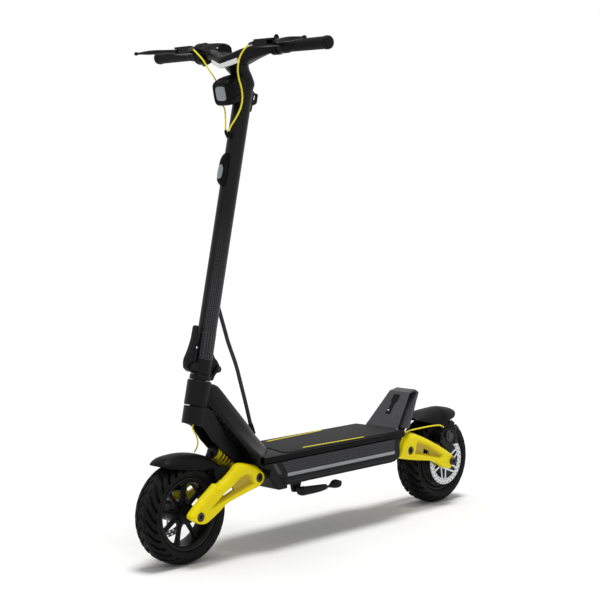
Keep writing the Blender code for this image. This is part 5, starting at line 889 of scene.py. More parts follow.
def brake_disc(name, axle, side, body, node):
    """Two rows of drilled cells, a wall at both edges, a round carrier, and pairs of arms with bolts."""
    plane = side * DISC_PLANE
    thick = DISC_HALF_THICK
    parts = [(drilled_band(axle, plane, DISC_INNER, DISC_MIDDLE, DISC_HOLES, 0.0021, 0.0), disc_steel),
             (drilled_band(axle, plane, DISC_MIDDLE, DISC_OUTER, DISC_HOLES, 0.0024, 0.5), disc_steel)]
    for radius in (DISC_INNER, DISC_OUTER):
        wall = np.array([(radius - 0.0001, -thick), (radius + 0.0001, -thick), (radius + 0.0001, thick),
                         (radius - 0.0001, thick)]) + (0, plane)
        parts.append((turned(wall, axle, Y, 120, ring=True), disc_steel))
    carrier = np.array([(0.0090, -thick), (0.0255, -thick), (0.0262, -0.0004), (0.0262, 0.0004),
                        (0.0255, thick), (0.0090, thick)]) + (0, plane)
    parts.append((turned(carrier, axle, Y, 64, ring=True), disc_steel))
    head = np.array([(0.0, 0.0030), (0.0012, 0.0030), (0.0028, 0.0026), (0.0034, 0.0012),
                     (0.0034, 0.0)]) * (1, side)

    def at(radius, degrees):
        """A point of the disc's plane, by its distance from the axle and its angle."""
        turn = np.radians(degrees)
        return axle + radius * np.array([np.cos(turn), 0, np.sin(turn)]) + Y * plane

    for arm in range(DISC_ARMS):
        degrees = 360 / DISC_ARMS * arm
        foot = at(0.0250, degrees + 30)
        parts.append((bar_between(foot, at(0.0555, degrees + 32), 0.0062, 0.0019), disc_steel))
        parts.append((bar_between(foot, at(0.0555, degrees - 14), 0.0056, 0.0018), disc_steel))
        parts.append((turned(head, at(0.0190, degrees + 30) + Y * side * thick, Y, 14), black_oxide))
    piece(name, parts, body, [node])


brake_disc("front_brake_disc", FRONT_AXLE, -1, "front_wheel", "front_disc")
brake_disc("rear_brake_disc", REAR_AXLE, 1, "rear_wheel", "rear_disc")

# %% [markdown]
# ## Castings
# Arms, fork, neck, caps, clamps and calipers are castings: solid shapes whose edges are all
# a little round. Their solids already have the right form, so a copy of the solid is merged,
# rebuilt as an even skin by a voxel Remesh and relaxed by a Smooth modifier. This rounds
# every edge by about the same few millimetres, as a mould does, also where edges meet at
# odd angles and a Bevel would fail.

# %% Casting helper
def solid_copy(node):
    """A copy of a solid's mesh whose loose triangles are merged."""
    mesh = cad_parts[node].data.copy()
    shape = bmesh.new()
    shape.from_mesh(mesh)
    bmesh.ops.remove_doubles(shape, verts=shape.verts, dist=1e-5)
    shape.to_mesh(mesh)
    shape.free()
    return mesh


def casting(name, node, body, voxel_mm, passes, finish, mesh=None, room=None):
    """A softened solid, or a softened mesh that stands for it, less the room that its neighbour needs."""
    item = bpy.data.objects.new(name + "_raw", mesh or solid_copy(node))
    bpy.context.scene.collection.objects.link(item)
    if room:
        cutter = bpy.data.objects.new(name + "_room", room)
        bpy.context.scene.collection.objects.link(cutter)
        cut = item.modifiers.new("cut", "BOOLEAN")
        cut.operation = "DIFFERENCE"
        cut.object = cutter
        cut.use_self = True
    rebuild = item.modifiers.new("rebuild", "REMESH")
    rebuild.mode = "VOXEL"
    rebuild.voxel_size = voxel_mm / 1000
    relax = item.modifiers.new("relax", "SMOOTH")
    relax.factor = 0.5
    relax.iterations = passes
    soft = bpy.data.meshes.new_from_object(item.evaluated_get(bpy.context.evaluated_depsgraph_get()))
    bpy.data.objects.remove(item)
    if room:
        bpy.data.objects.remove(cutter)
    soft.name = name
    soft.materials.clear()
    soft.materials.append(finish)
    return placed(name, soft, body, [node], 180)


print("casting helper ready")

# %% Fork and neck
casting("fork_casting", "steering_fork", "fork", 1.6, 5, powder_coat)
# The neck's rings, from the deck up: height, then x and half width of the rear, the flank and the front.
NECK = [
    (0.2313, 0.198, 0.0165, 0.222, 0.0375, 0.300, 0.0945),
    (0.2490, 0.200, 0.0165, 0.2235, 0.0375, 0.300, 0.0945),
    (0.2750, 0.226, 0.0190, 0.250, 0.0430, 0.330, 0.0850),
    (0.3040, 0.254, 0.0200, 0.278, 0.0400, 0.352, 0.0660),
    (0.3270, 0.272, 0.0205, 0.298, 0.0370, 0.372, 0.0520),
    (0.3900, 0.330, 0.0215, 0.358, 0.0310, 0.412, 0.0330),
    (0.4310, 0.370, 0.0210, 0.386, 0.0260, 0.416, 0.0290),
    (0.4410, 0.388, 0.0190, 0.398, 0.0220, 0.416, 0.0250)]
rings = []
for height, *half in NECK:
    half = np.array(half).reshape(3, 2)
    ring = rounded(np.vstack([half, half[::-1] * (1, -1)]), 0.03, 9)
    rings.append(np.column_stack([ring, np.full(len(ring), height)]))
HEAD_TUBE = [(0.0, 0.2646), (0.0305, 0.2646), (0.0305, 0.3328), (0.0, 0.3328)]
neck = joined("neck_rings", [(lofted(rings, 70), powder_coat),
                             (turned(HEAD_TUBE, STEER_BASE, STEER_UP, 72), powder_coat)])
# The fork sweeps this lathe form as it steers, so the neck is cut clear of it.
SWEPT = [(0.0, -0.12), (0.2195, -0.12), (0.2195, 0.1387), (0.185, 0.1477), (0.0504, 0.2604),
         (0.0345, 0.2686), (0.0, 0.2686)]
swept = joined("steered_room", [(turned(SWEPT, STEER_BASE, STEER_UP, 96), powder_coat)])
casting("neck_casting", "neck_frame", "frame", 1.6, 12, powder_coat, neck, swept)

# %% Deck ends, kick plate and brakes
casting("front_nose", "front_cap", "frame", 1.6, 5, powder_coat)
casting("rear_block", "rear_cap", "frame", 1.6, 5, powder_coat)
casting("kick_plate", "footrest", "frame", 1.2, 4, sunlit_grey_powder)
casting("front_brake_caliper", "front_caliper", "front_arm", 0.9, 4, powder_coat)
casting("rear_brake_caliper", "rear_caliper", "rear_arm", 0.9, 4, powder_coat)
casting("stand_bracket", "kickstand_bracket", "frame", 0.9, 4, powder_coat)

# %% Bar fittings
casting("left_perch", "brake_perch_left", "stem", 0.7, 4, powder_coat)
casting("right_perch", "brake_perch_right", "stem", 0.7, 4, powder_coat)
casting("display_housing", "display_unit", "stem", 0.8, 6, moulded_nylon)
casting("switch_housing", "switch_box", "stem", 0.6, 4, moulded_nylon)
casting("stem_loop", "stem_hook", "stem", 0.7, 4, powder_coat)

# %% [markdown]
# ## Swingarms
# Each swingarm is a pair of yellow cast plates, joined by a black bridge that holds the
# spring. A plate has a crowned face, a deep pocket with sloped walls, a see-through window
# and a ring round its bolt. A softened solid loses all that, so a plate is a height over a
# grid: four border curves are blended into a patch (a Coons patch), the height falls off
# near the border and in the pocket, and the grid's cells inside the window are left out.

# %% Arm helpers
def patch(lower, upper, start, end, rows, columns):
    """Points between four border curves: both pairs are blended across, less the blend of the corners."""
    u = np.linspace(0, 1, rows)[:, None, None]
    v = np.linspace(0, 1, columns)[None, :, None]
    low, high = even_curve(lower, rows)[:, None], even_curve(upper, rows)[:, None]
    first, last = even_curve(start, columns)[None], even_curve(end, columns)[None]
    near_end = (1 - v) * first[:, :1] + v * first[:, -1:]
    far_end = (1 - v) * last[:, :1] + v * last[:, -1:]
    corners = (1 - u) * near_end + u * far_end
    return (1 - v) * low + v * high + (1 - u) * first + u * last - corners


def inside_by(points, outline):
    """Distance to an outline's nearest side, positive inside.

    A point is inside where a ray to the right crosses the outline an odd number of times.
    """
    a = np.asarray(outline, float)
    b = np.roll(a, -1, axis=0)
    offset = points[..., None, :] - a
    side = b - a
    share = np.clip((offset * side).sum(-1) / (side ** 2).sum(-1), 0, 1)
    far = np.linalg.norm(offset - share[..., None] * side, axis=-1).min(-1)
    x, y = points[..., 0, None], points[..., 1, None]
    spans = (a[:, 1] > y) != (b[:, 1] > y)
    crossing = a[:, 0] + (y - a[:, 1]) * side[:, 0] / np.where(side[:, 1] == 0, 1, side[:, 1])
    odd = (spans & (x < crossing)).sum(-1) % 2 == 1
    return np.where(odd, far, -far)


def shell_of(outer, inner, keep):
    """A closed plate from two grids: the kept cells of both, and a wall where a cell has no neighbour.

    Points that no face uses are dropped. The second result numbers the points that are left.
    """
    rows, columns = outer.shape[:2]
    count = rows * columns
    number = np.arange(count).reshape(rows, columns)
    quads = np.stack([number[:-1, :-1], number[1:, :-1], number[1:, 1:], number[:-1, 1:]], -1)[keep]
    edges = np.stack([quads, np.roll(quads, -1, axis=1)], -1).reshape(-1, 2)
    border = edges[~np.isin(edges[:, 0] * count + edges[:, 1], edges[:, 1] * count + edges[:, 0])]
    walls = np.column_stack([border[:, 1], border[:, 0], border[:, 0] + count, border[:, 1] + count])
    faces = np.vstack([quads, quads[:, ::-1] + count, walls])
    points = np.vstack([outer.reshape(-1, 3), inner.reshape(-1, 3)])
    used, faces = np.unique(faces, return_inverse=True)
    points, faces = points[used], faces.reshape(-1, 4)
    a, b, c = (points[faces[:, k]] - points.mean(0) for k in range(3))
    if np.einsum("ij,ij->", a, np.cross(b, c)) < 0:
        faces = faces[:, ::-1]
    return (points, faces.tolist(), points[faces.ravel()][:, [0, 2]]), used


FRONT_PIVOT = np.array([0.288, 0, 0.196])
REAR_PIVOT = np.array([-0.304, 0, 0.184])
ARM_INSIDE, ARM_OUTSIDE = 0.0575, 0.0775
CROWN_BELOW, CROWN_ABOVE, CROWN_SPAN = 0.007, 0.016, 0.030
POCKET_DEPTH = 0.0125
POCKET_SLOPE = (-0.0015, 0.0095)
BOSS_EDGE = 0.0022
BOLT_RECESS = (0.0112, 0.0124)
BOLT_FLOOR = 0.0700
BRIDGE_HALF = 0.062
BRIDGE_RADIUS = 0.011
SEAT_THICK, SEAT_GAP = 0.006, 0.0003


def arm_place(pivot, axle):
    """A function that puts (along, up, left) of an arm into the scooter: along from pivot to axle."""
    along = (axle - pivot) / np.linalg.norm(axle - pivot)
    up = np.array([-along[2], 0, along[0]])
    up *= np.sign(up[2])
    return lambda s, a, y: pivot + s[..., None] * along + a[..., None] * up + y[..., None] * Y


def arm_plate(side, place, borders, pocket, window, rings):
    """One plate: its height is the outer face less a quarter round at the border and the pocket's ramp.

    Each ring is a flat boss at (along, up) whose middle is sunk for a bolt head, down to its floor.
    """
    flat = patch(*borders, 200, 60)
    edge = np.concatenate([flat[:, 0], flat[-1], flat[::-1, -1], flat[0, ::-1]])[::2]
    crown = CROWN_BELOW + (CROWN_ABOVE - CROWN_BELOW) * ramp(flat[..., 1], 0.0, CROWN_SPAN)
    near = np.clip(inside_by(flat, edge), 0, crown)
    height = ARM_OUTSIDE - crown + np.sqrt(crown ** 2 - (crown - near) ** 2)
    sunk = ramp(inside_by(flat, pocket), *POCKET_SLOPE)
    height = np.minimum(height, ARM_OUTSIDE - POCKET_DEPTH * sunk)
    for spot, boss, floor in rings:
        away = np.linalg.norm(flat - spot, axis=-1)
        height += (ARM_OUTSIDE - height) * (1 - ramp(away, boss - BOSS_EDGE, boss))
        height -= (ARM_OUTSIDE - floor) * (1 - ramp(away, *BOLT_RECESS))
    centres = (flat[:-1, :-1] + flat[1:, 1:]) / 2
    keep = inside_by(centres, window) < 0
    outer, inner = (place(flat[..., 0], flat[..., 1], side * y) for y in (height, 0 * height + ARM_INSIDE))
    shape, used = shell_of(outer, inner, keep)
    return shape, np.concatenate([sunk.ravel(), 0 * sunk.ravel()])[used]


def pocket_shade_on(item, pocket_shade):
    """Write one value of painted pocket shade for each point of a mesh, and none on the points that follow.
    """
    layer = item.data.attributes.new("pocket_shade", "FLOAT", "POINT")
    values = np.zeros(len(item.data.vertices), np.float32)
    values[:len(pocket_shade)] = pocket_shade
    layer.data.foreach_set("value", values)


def rod(start, end, radius, chamfer=0.001):
    """A round bar with a small chamfer: a lathe form whose axis runs from start to end."""
    start, end = np.asarray(start, float), np.asarray(end, float)
    length = np.linalg.norm(end - start)
    profile = [(0.0, 0.0), (radius - chamfer, 0.0), (radius, chamfer), (radius, length - chamfer),
               (radius - chamfer, length), (0.0, length)]
    return turned(profile, start, end - start, 40)


def cross_tube(x, z):
    """The round bar between an arm's two plates."""
    return rod((x, -BRIDGE_HALF, z), (x, BRIDGE_HALF, z), BRIDGE_RADIUS)


def swingarm(name, body, node, place, borders, pocket, window, rings, bridge):
    """An arm: a plate on each side, the black bridge between them, and painted shade in the plates' pockets.
    """
    plates, pocket_shade = zip(*(arm_plate(side, place, borders, pocket, window, rings) for side in (1, -1)))
    parts = [(plate, yellow_enamel) for plate in plates] + [(part, powder_coat) for part in bridge]
    pocket_shade_on(piece(name, parts, body, [node], crease=50), np.concatenate(pocket_shade))


print("arm helpers ready")

# %% Front swingarm
FRONT_START = [(-0.006, -0.0195), (-0.0135, -0.0125), (-0.0172, -0.0030), (-0.0165, 0.0090),
               (-0.0130, 0.0200), (-0.0070, 0.0290)]
FRONT_LOWER = [(-0.006, -0.0195), (0.010, -0.0222), (0.053, -0.0173), (0.117, -0.0119), (0.148, -0.0179),
               (0.1785, -0.0232), (0.200, -0.0250), (0.216, -0.0190)]
FRONT_END = [(0.216, -0.0190), (0.228, -0.0070), (0.2370, 0.0040), (0.2405, 0.0120), (0.2365, 0.0175),
             (0.2265, 0.0225)]
FRONT_UPPER = [(-0.0070, 0.0290), (0.008, 0.0405), (0.022, 0.0500), (0.038, 0.0590), (0.050, 0.0625),
               (0.060, 0.0615), (0.078, 0.0545), (0.105, 0.0475), (0.1225, 0.0455), (0.130, 0.0475),
               (0.1375, 0.0515), (0.150, 0.0480), (0.170, 0.0420), (0.200, 0.0335), (0.2265, 0.0225)]
FRONT_POCKET = [(0.020, 0.018), (0.032, 0.030), (0.060, 0.032), (0.090, 0.0235), (0.124, 0.0190),
                (0.182, 0.003), (0.118, -0.0020), (0.054, -0.0070), (0.018, -0.0080)]
FRONT_WINDOW = [(0.080, 0.0050), (0.084, 0.0195), (0.130, 0.0165), (0.132, 0.0045)]
# The x and z of the bridge's middle, and the way from the pivot to the axle.
FRONT_BRIDGE = (0.33503, 0.20531)
FRONT_LENGTH = 0.21211
FRONT_RINGS = [((0.0, 0.0), 0.0173, BOLT_FLOOR), ((FRONT_LENGTH, 0.0), 0.0165, BOLT_FLOOR)]
front_place = arm_place(FRONT_PIVOT, FRONT_AXLE)
x, z = FRONT_BRIDGE
tip_x, _, tip_z = FRONT_SPRING_TOP
FRONT_LUG = [
    (x - 0.008, z + 0.005), (x + 0.003, z - 0.009), (x + 0.020, z + 0.002), (tip_x + 0.004, tip_z - 0.037),
    (tip_x + 0.025, tip_z - 0.011), (tip_x + 0.014, tip_z + 0.007), (tip_x + 0.0095, tip_z - 0.0085),
    (tip_x + 0.010, tip_z - 0.0195), (tip_x - 0.008, tip_z - 0.0345), (x + 0.012, z + 0.0195)]
seat_axis = (FRONT_SPRING_END - FRONT_SPRING_TOP) / np.linalg.norm(FRONT_SPRING_END - FRONT_SPRING_TOP)
front_bridge = [
    cross_tube(x, z), slab(FRONT_LUG, -0.006, 0.006, 0.0015, side_on, 0.003),
    rod(FRONT_SPRING_TOP - seat_axis * SEAT_THICK, FRONT_SPRING_TOP - seat_axis * SEAT_GAP, 0.0185)]
swingarm("front_arm_casting", "front_arm", "front_swingarm", front_place,
         (FRONT_LOWER, FRONT_UPPER, FRONT_START, FRONT_END), FRONT_POCKET, FRONT_WINDOW, FRONT_RINGS,
         front_bridge)

# %% Rear swingarm
REAR_START = [(-0.040, -0.0285), (-0.0435, -0.0245), (-0.0390, -0.0100), (-0.034, 0.0010), (-0.029, 0.0200),
              (-0.024, 0.0379)]
REAR_LOWER = [(-0.040, -0.0285), (-0.0298, -0.0290), (0.0231, -0.0243), (0.0987, -0.0148), (0.1325, -0.0159),
              (0.172, -0.0236), (0.194, -0.0224)]
REAR_UPPER = [(-0.024, 0.0379), (-0.0076, 0.0489), (0.0234, 0.0500), (0.0862, 0.0431), (0.1715, 0.0273),
              (0.2022, 0.0148)]
REAR_END = [(0.194, -0.0224), (0.1985, -0.0130), (0.1960, -0.0080), (0.1885, -0.0055), (0.1860, 0.0),
            (0.1890, 0.0058), (0.1985, 0.0082), (0.2022, 0.0148)]
REAR_POCKET = [(0.020, 0.033), (0.070, 0.031), (0.150, 0.013), (0.138, -0.002), (0.060, -0.006),
               (0.020, -0.010)]
REAR_WINDOW = [(0.070, 0.003), (0.068, 0.017), (0.098, 0.012), (0.096, 0.002)]
REAR_BRIDGE = (-0.3356474, 0.2088304)
REAR_RINGS = [((0.0, 0.0), 0.0185, BOLT_FLOOR)]
rear_place = arm_place(REAR_PIVOT, REAR_AXLE)
x, z = REAR_BRIDGE
face, _, top = REAR_SPRING_REAR
STAY = [(x - 0.008, z), (x + 0.004, z + 0.008), (x - 0.024, z + 0.0420), (x - 0.0415, z + 0.0504),
        (x - 0.0540, z + 0.0544), (x - 0.040, z + 0.0390)]
REAR_LUG = [(x - 0.006, z - 0.007), (x + 0.006, z - 0.008), (face - 0.005, top - 0.012),
            (face - 0.005, top + 0.012), (x, z + 0.009)]
rear_bridge = [
    cross_tube(x, z), slab(REAR_LUG, -0.009, 0.009, 0.0015, side_on, 0.003),
    slab(STAY, -0.008, 0.008, 0.0015, side_on, 0.003),
    rod((face - SEAT_THICK, 0, top), (face - SEAT_GAP, 0, top), 0.0145)]
swingarm("rear_arm_casting", "rear_arm", "rear_swingarm", rear_place,
         (REAR_LOWER, REAR_UPPER, REAR_START, REAR_END), REAR_POCKET, REAR_WINDOW, REAR_RINGS, rear_bridge)

# %% [markdown]
# ## Axles and pivot bolts
# Each axle and pivot is a steel bolt whose round head sits in a recess of the arm and has a
# hexagon socket. The head's rings all have as many points, and the socket's rings are the
# same circle pressed onto a hexagon, so one skin covers the head and the socket.

# %% Bolts
SHANK_RADIUS = 0.0058
BOLT_HEAD = (0.0108, 0.0058, 0.0052)
PIVOT_HALF = 0.0703
REAR_AXLE_HALF = 0.0778


def socket_head(centre, side, radius, height, socket):
    """A round head: rings from its foot over its edge to a hexagon socket.

    On a hexagon the distance is the flat's distance divided by the cosine to the nearest flat.
    """
    turn = np.linspace(0, 2 * np.pi, 36, endpoint=False)
    circle = np.ones_like(turn)
    hexagon = socket / np.cos(np.mod(turn, np.pi / 3) - np.pi / 6)
    rows = [(radius * circle, 0.0), (radius * circle, height - 0.0012),
            ((radius - 0.0004) * circle, height - 0.0004), ((radius - 0.0012) * circle, height),
            (hexagon + 0.0006, height), (hexagon, height - 0.0006),
            (hexagon * 0.98, height * 0.25), (hexagon * 0.02, height * 0.2)]
    away, level = (np.array(column) for column in zip(*rows))
    points = plan(away * np.cos(turn), side * level[:, None] + 0 * away, away * np.sin(turn))
    return skin(np.asarray(centre) + points)


def through_bolt(name, centre, half, body, node):
    """A shank between two heads that lie the half length to the left and right of the centre."""
    shank = [(0.0, -half), (SHANK_RADIUS, -half), (SHANK_RADIUS, half), (0.0, half)]
    parts = [(turned(shank, centre, Y, 32), black_oxide)]
    parts += [(socket_head(np.asarray(centre) + Y * side * half, side, *BOLT_HEAD), black_oxide)
              for side in (1, -1)]
    piece(name, parts, body, [node])


through_bolt("front_wheel_axle", FRONT_AXLE, PIVOT_HALF, "front_arm", "front_axle")
through_bolt("front_arm_bolt", FRONT_PIVOT, PIVOT_HALF, "fork", "front_pivot_bolt")
through_bolt("rear_arm_bolt", REAR_PIVOT, PIVOT_HALF, "frame", "rear_pivot_bolt")
through_bolt("rear_wheel_axle", REAR_AXLE, REAR_AXLE_HALF, "rear_arm", "rear_axle")

# %% [markdown]
# ## Brake fittings
# A cable-pulled caliper has a round actuator on its face, turned by a small arm that the
# cable's clamp sits on, and bolts and ribs beside it. They are lathe forms and small plates
# on the casting, the same for both wheels and mirrored by the side they face.

# %% Brake fittings
# Bolts on a caliper: ahead of the axle, above it, radius, and how far out of the face.
CALIPER_BOLTS = ((-0.0175, 0.0945, 0.0042, 0.0085), (0.0270, 0.0685, 0.0050, -0.0005),
                 (-0.0280, 0.0530, 0.0050, -0.0005))
CALIPER_ARM = [(-0.0010, 0.0690), (0.0085, 0.0800), (-0.0110, 0.0985), (-0.0215, 0.0995), (-0.0235, 0.0930)]
ACTUATOR = [(0.0, 0.0095), (0.0055, 0.0095), (0.0100, 0.0088), (0.0105, 0.0066), (0.0150, 0.0064),
            (0.0165, 0.0050), (0.0165, -0.0020), (0.0, -0.0020)]
CALIPER_RIBS = 3
RIB_PITCH = 0.0075


def caliper_fittings(name, axle, side, outside, body):
    """The actuator, its arm and cable clamp, two mounting bolts and three ribs on a caliper's face."""
    centre = axle + (0.004, side * outside, 0.0745)
    parts = [(turned(np.array(ACTUATOR) * (1, side), centre, Y, 40), black_oxide)]
    arm = np.array(CALIPER_ARM) + axle[[0, 2]]
    low, high = sorted((side * (outside + 0.0062), side * (outside + 0.0088)))
    parts.append((slab(arm, low, high, 0.0008, side_on, 0.004), powder_coat))
    for ahead, above, radius, proud in CALIPER_BOLTS:
        spot = axle + (ahead, side * (outside + proud), above)
        parts.append((socket_head(spot, side, radius, 0.0036, radius * 0.5), black_oxide))
    low, high = sorted((side * (outside - 0.001), side * (outside + 0.0022)))
    for rib in range(CALIPER_RIBS):
        lift = 0.0590 + RIB_PITCH * rib
        bar = np.array([(-0.0330, lift), (-0.0150, lift + 0.002), (-0.0150, lift + 0.005),
                        (-0.0330, lift + 0.003)]) + axle[[0, 2]]
        parts.append((slab(bar, low, high, 0.0007, side_on, 0.001), powder_coat))
    piece(name, parts, body)


caliper_fittings("rear_caliper_fittings", REAR_AXLE, 1, 0.0663, "rear_arm")
caliper_fittings("front_caliper_fittings", FRONT_AXLE, -1, 0.0572, "front_arm")

# %% [markdown]
# ## Kick plate and nose trim
# The kick plate has a keyhole for the stem's hook: a square opening on top, a groove and a
# small latch. The nose of the deck has a slanted panel, a slanted end to the weave and four
# ribs. All of these are thin plates and beads on the castings, drawn in the plane of each face.

# %% Kick plate keyhole
KICK_FOOT = np.array([-0.2955, 0, 0.2870])
KICK_LEAN = np.array([-0.6588, 0, 0.7523])
KICK_FACE = np.array([0.7523, 0, 0.6588])


def on_kick_plate(along, across, out):
    """Points on the kick plate: up its slope, to the left, and out of its face."""
    return KICK_FOOT + along[..., None] * KICK_LEAN + across[..., None] * Y + out[..., None] * KICK_FACE


KEYHOLE_SUNK, KEYHOLE_PROUD = -0.0020, 0.0007
opening = rounded([(0.0360, -0.0100), (0.0600, -0.0100), (0.0600, 0.0100), (0.0360, 0.0100)], 0.003)
groove = rounded([(0.0125, -0.0045), (0.0350, -0.0045), (0.0350, 0.0045), (0.0125, 0.0045)], 0.002)
latch = [(-0.0040, -0.0085), (0.0120, -0.0085), (0.0120, 0.0085), (-0.0040, 0.0085)]
rivet = [(0.0, 0.0034), (0.0022, 0.0030), (0.0032, 0.0016), (0.0032, 0.0)]
rivet_spot = KICK_FOOT + KICK_LEAN * 0.004 + KICK_FACE * 0.0020
keyhole = []
# Painted shade: the opening and the groove are black plates that stand for the shade inside them, each
# framed by a bead.
for outline, rim_radius in ((opening, 0.0014), (groove, 0.0009)):
    keyhole += [(slab(outline, KEYHOLE_SUNK, KEYHOLE_PROUD, 0.0005, on_kick_plate), tyre_rubber),
                (bead(outline, rim_radius, on_kick_plate, 0.0006), powder_coat)]
keyhole += [(slab(latch, KEYHOLE_SUNK, 0.0022, 0.0010, on_kick_plate, 0.003), powder_coat),
            (turned(rivet, rivet_spot, KICK_FACE, 20), zinc_plate)]
piece("kick_plate_keyhole", keyhole, "frame")

# %% Nose trim
NOSE_SKIN = (0.0970, 0.0998)
PANEL = [(0.2640, 0.2290), (0.2516, 0.2290), (0.2302, 0.1994), (0.2446, 0.2010)]
WEAVE_END = [(0.2322, 0.2290), (0.2100, 0.2290), (0.2100, 0.1992), (0.2112, 0.1992)]
RIB_TOPS = (0.19, 0.184, 0.178, 0.172)
nose = [(plate, panel_satin) for plate in pair_of_plates(PANEL, *NOSE_SKIN, 0.0008, side_on, 0.0015)]
nose += [(plate, deck_twill) for plate in pair_of_plates(WEAVE_END, *NOSE_SKIN, 0.0008, side_on, 0.0015)]
for z in RIB_TOPS:
    slant = 0.2380 - (RIB_TOPS[0] - z) * 0.80
    rib = [(slant, z), (0.2100, z), (0.2100, z - 0.0030), (slant - 0.0024, z - 0.0030)]
    nose += [(plate, powder_coat) for plate in pair_of_plates(rib, *NOSE_SKIN, 0.0010, side_on, 0.001)]
piece("nose_panels", nose, "frame")

# %% [markdown]
# ## Fenders
# A fender is an arched moulding over a tyre. Each station has a crown point and an edge
# point, and the arch between them is half an ellipse. Smooth stations in between and a
# thin inner skin make a closed shell, thicker at the free end where the mould has a lip.

# %% Fenders
FRONT_FENDER = [
    (-0.124, 0.1020, -0.124, 0.0800, 0.047), (-0.099, 0.1190, -0.110, 0.0890, 0.047),
    (-0.080, 0.1320, -0.096, 0.0960, 0.047), (-0.050, 0.1425, -0.066, 0.1055, 0.047),
    (-0.018, 0.1490, -0.030, 0.1095, 0.047), (0.015, 0.1515, 0.008, 0.1145, 0.0465),
    (0.051, 0.1490, 0.051, 0.1215, 0.041), (0.0675, 0.1430, 0.068, 0.1255, 0.034),
    (0.0785, 0.1335, 0.078, 0.1285, 0.023)]
REAR_FENDER = [
    (0.113, 0.1360, 0.127, 0.1315, 0.047), (0.083, 0.1445, 0.101, 0.1265, 0.047),
    (0.053, 0.1485, 0.065, 0.1165, 0.047), (0.008, 0.1515, 0.019, 0.1095, 0.047),
    (-0.024, 0.1515, -0.016, 0.1125, 0.047), (-0.062, 0.1445, -0.051, 0.1170, 0.040),
    (-0.0795, 0.1385, -0.072, 0.1225, 0.030), (-0.0890, 0.1335, -0.086, 0.1275, 0.016)]


def fender(stations, axle, count=56):
    """A shell: from edge to crown by a cosine, across by a sine, with an inner skin below the outer."""
    crown_x, crown_z, edge_x, edge_z, half = even_curve(stations, count).T[:, :, None]
    angle = np.linspace(-np.pi / 2, np.pi / 2, 33)
    share, across = np.cos(angle), np.sin(angle)
    lip = 0.0026 + 0.0022 * bump_at(np.arange(count), count - 1, 4.0)[:, None]
    x = axle[0] + edge_x + (crown_x - edge_x) * share
    z = axle[2] + edge_z + (crown_z - edge_z) * share
    outer = np.stack([x, half * across, z], -1)
    inner = np.stack([x, (half - lip) * across, z - lip * (0.25 + share)], -1)
    return skin(np.concatenate([outer, inner[:, ::-1]], axis=1))


EAR = np.array([(-0.1235, 0.0915), (-0.1120, 0.0895), (-0.1080, 0.0825), (-0.0960, 0.0835),
                (-0.0920, 0.0770), (-0.0800, 0.0780), (-0.0728, 0.0735), (-0.0640, 0.0980),
                (-0.0640, 0.1080), (-0.0870, 0.1090), (-0.1130, 0.1080)]) + FRONT_AXLE[[0, 2]]
guard = [(fender(FRONT_FENDER, FRONT_AXLE), moulded_nylon)]
guard += [(ear, moulded_nylon) for ear in pair_of_plates(EAR, 0.0430, 0.0566, 0.0012, side_on, 0.002)]
piece("front_mudguard", guard, "front_arm", ["front_fender"], crease=50)
piece("rear_mudguard", [(fender(REAR_FENDER, REAR_AXLE), moulded_nylon)], "rear_arm", ["rear_fender"],
      crease=50)

# %% [markdown]
# ## Deck
# The deck is an aluminium extrusion under a flat lid with a grit mat. An extrusion has crisp
# edges, so its solid stays and only gets the woven finish. Lid and mat are plates with
# rounded edges, made by drawing the outline in as it climbs round the edge.

# %% Deck
LID_HALF = [(-0.268, 0.0845), (-0.256, 0.0965), (0.291, 0.0965), (0.270, 0.060), (0.262, 0.0)]
lid_outline = LID_HALF + [(x, -y) for x, y in LID_HALF[-2::-1]]
MAT_HALF = [(-0.254, 0.0725), (-0.254, 0.0875), (0.185, 0.0875), (0.205, 0.0755), (0.187, 0.018)]
mat_outline = MAT_HALF + [(x, -y) for x, y in MAT_HALF[::-1]]
lid = slab(lid_outline, 0.2313, 0.248, 0.0035, plan, 0.006)
piece("lid_plate", [(lid, moulded_nylon)], "frame", ["deck_lid"])
mat = slab(mat_outline, 0.2483, 0.2501, 0.0007, plan, 0.004)
piece("standing_mat", [(mat, grit_mat)], "frame", ["deck_mat"])
strip = rounded([(-0.2095, 0.1903), (0.2095, 0.1903), (0.2095, 0.1987), (-0.2095, 0.1987)], 0.002)
covers = pair_of_plates(strip, 0.0968, 0.0991, 0.0008, side_on)
for node, cover in zip(("light_strip_left", "light_strip_right"), covers):
    piece(node + "_cover", [(cover, frosted_acrylic)], "frame", [node])
KEPT_SOLIDS = (("deck_tray", deck_twill), ("battery_pack", shrink_film), ("motor_controller", folded_sheet),
               ("motor_stator", winding_copper))
for node, finish in KEPT_SOLIDS:
    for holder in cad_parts[node].material_slots:
        holder.material = finish
print("deck made")

# %% [markdown]
# ## Stem and fold
# The stem is a straight tube with the woven finish, on a cast base that hinges on the fold
# bracket. Tube and base are lathe forms round the steering axis. Knuckle, cheeks, lugs and
# lever are plates whose outlines lie in the plane of that axis.

# %% Stem
SLEEVE = [(0.0206, 0.4551), (0.0236, 0.4551), (0.0236, 1.0845), (0.0206, 1.0845)]
sleeve = turned(SLEEVE, STEER_BASE, STEER_UP, 72, ring=True)
piece("stem_sleeve", [(sleeve, stem_twill)], "stem", ["stem_tube"])
BASE = [(0.0, 0.3478), (0.0250, 0.3478), (0.0262, 0.3490), (0.0262, 0.3530), (0.0254, 0.3570),
        (0.0250, 0.3860), (0.0, 0.3860)]
SOCKET = [(0.0, 0.3860), (0.0250, 0.3860), (0.0244, 0.4200), (0.0242, 0.4544), (0.0238, 0.4550),
          (0.0, 0.4550)]
KNUCKLE = [(0.010, 0.3488), (0.0352, 0.3498), (0.0400, 0.3590), (0.0455, 0.3605), (0.0520, 0.3608),
           (0.0570, 0.3650), (0.0575, 0.3710), (0.0540, 0.3775), (0.0440, 0.3885), (0.0340, 0.3950),
           (0.0262, 0.4060), (0.010, 0.4120)]
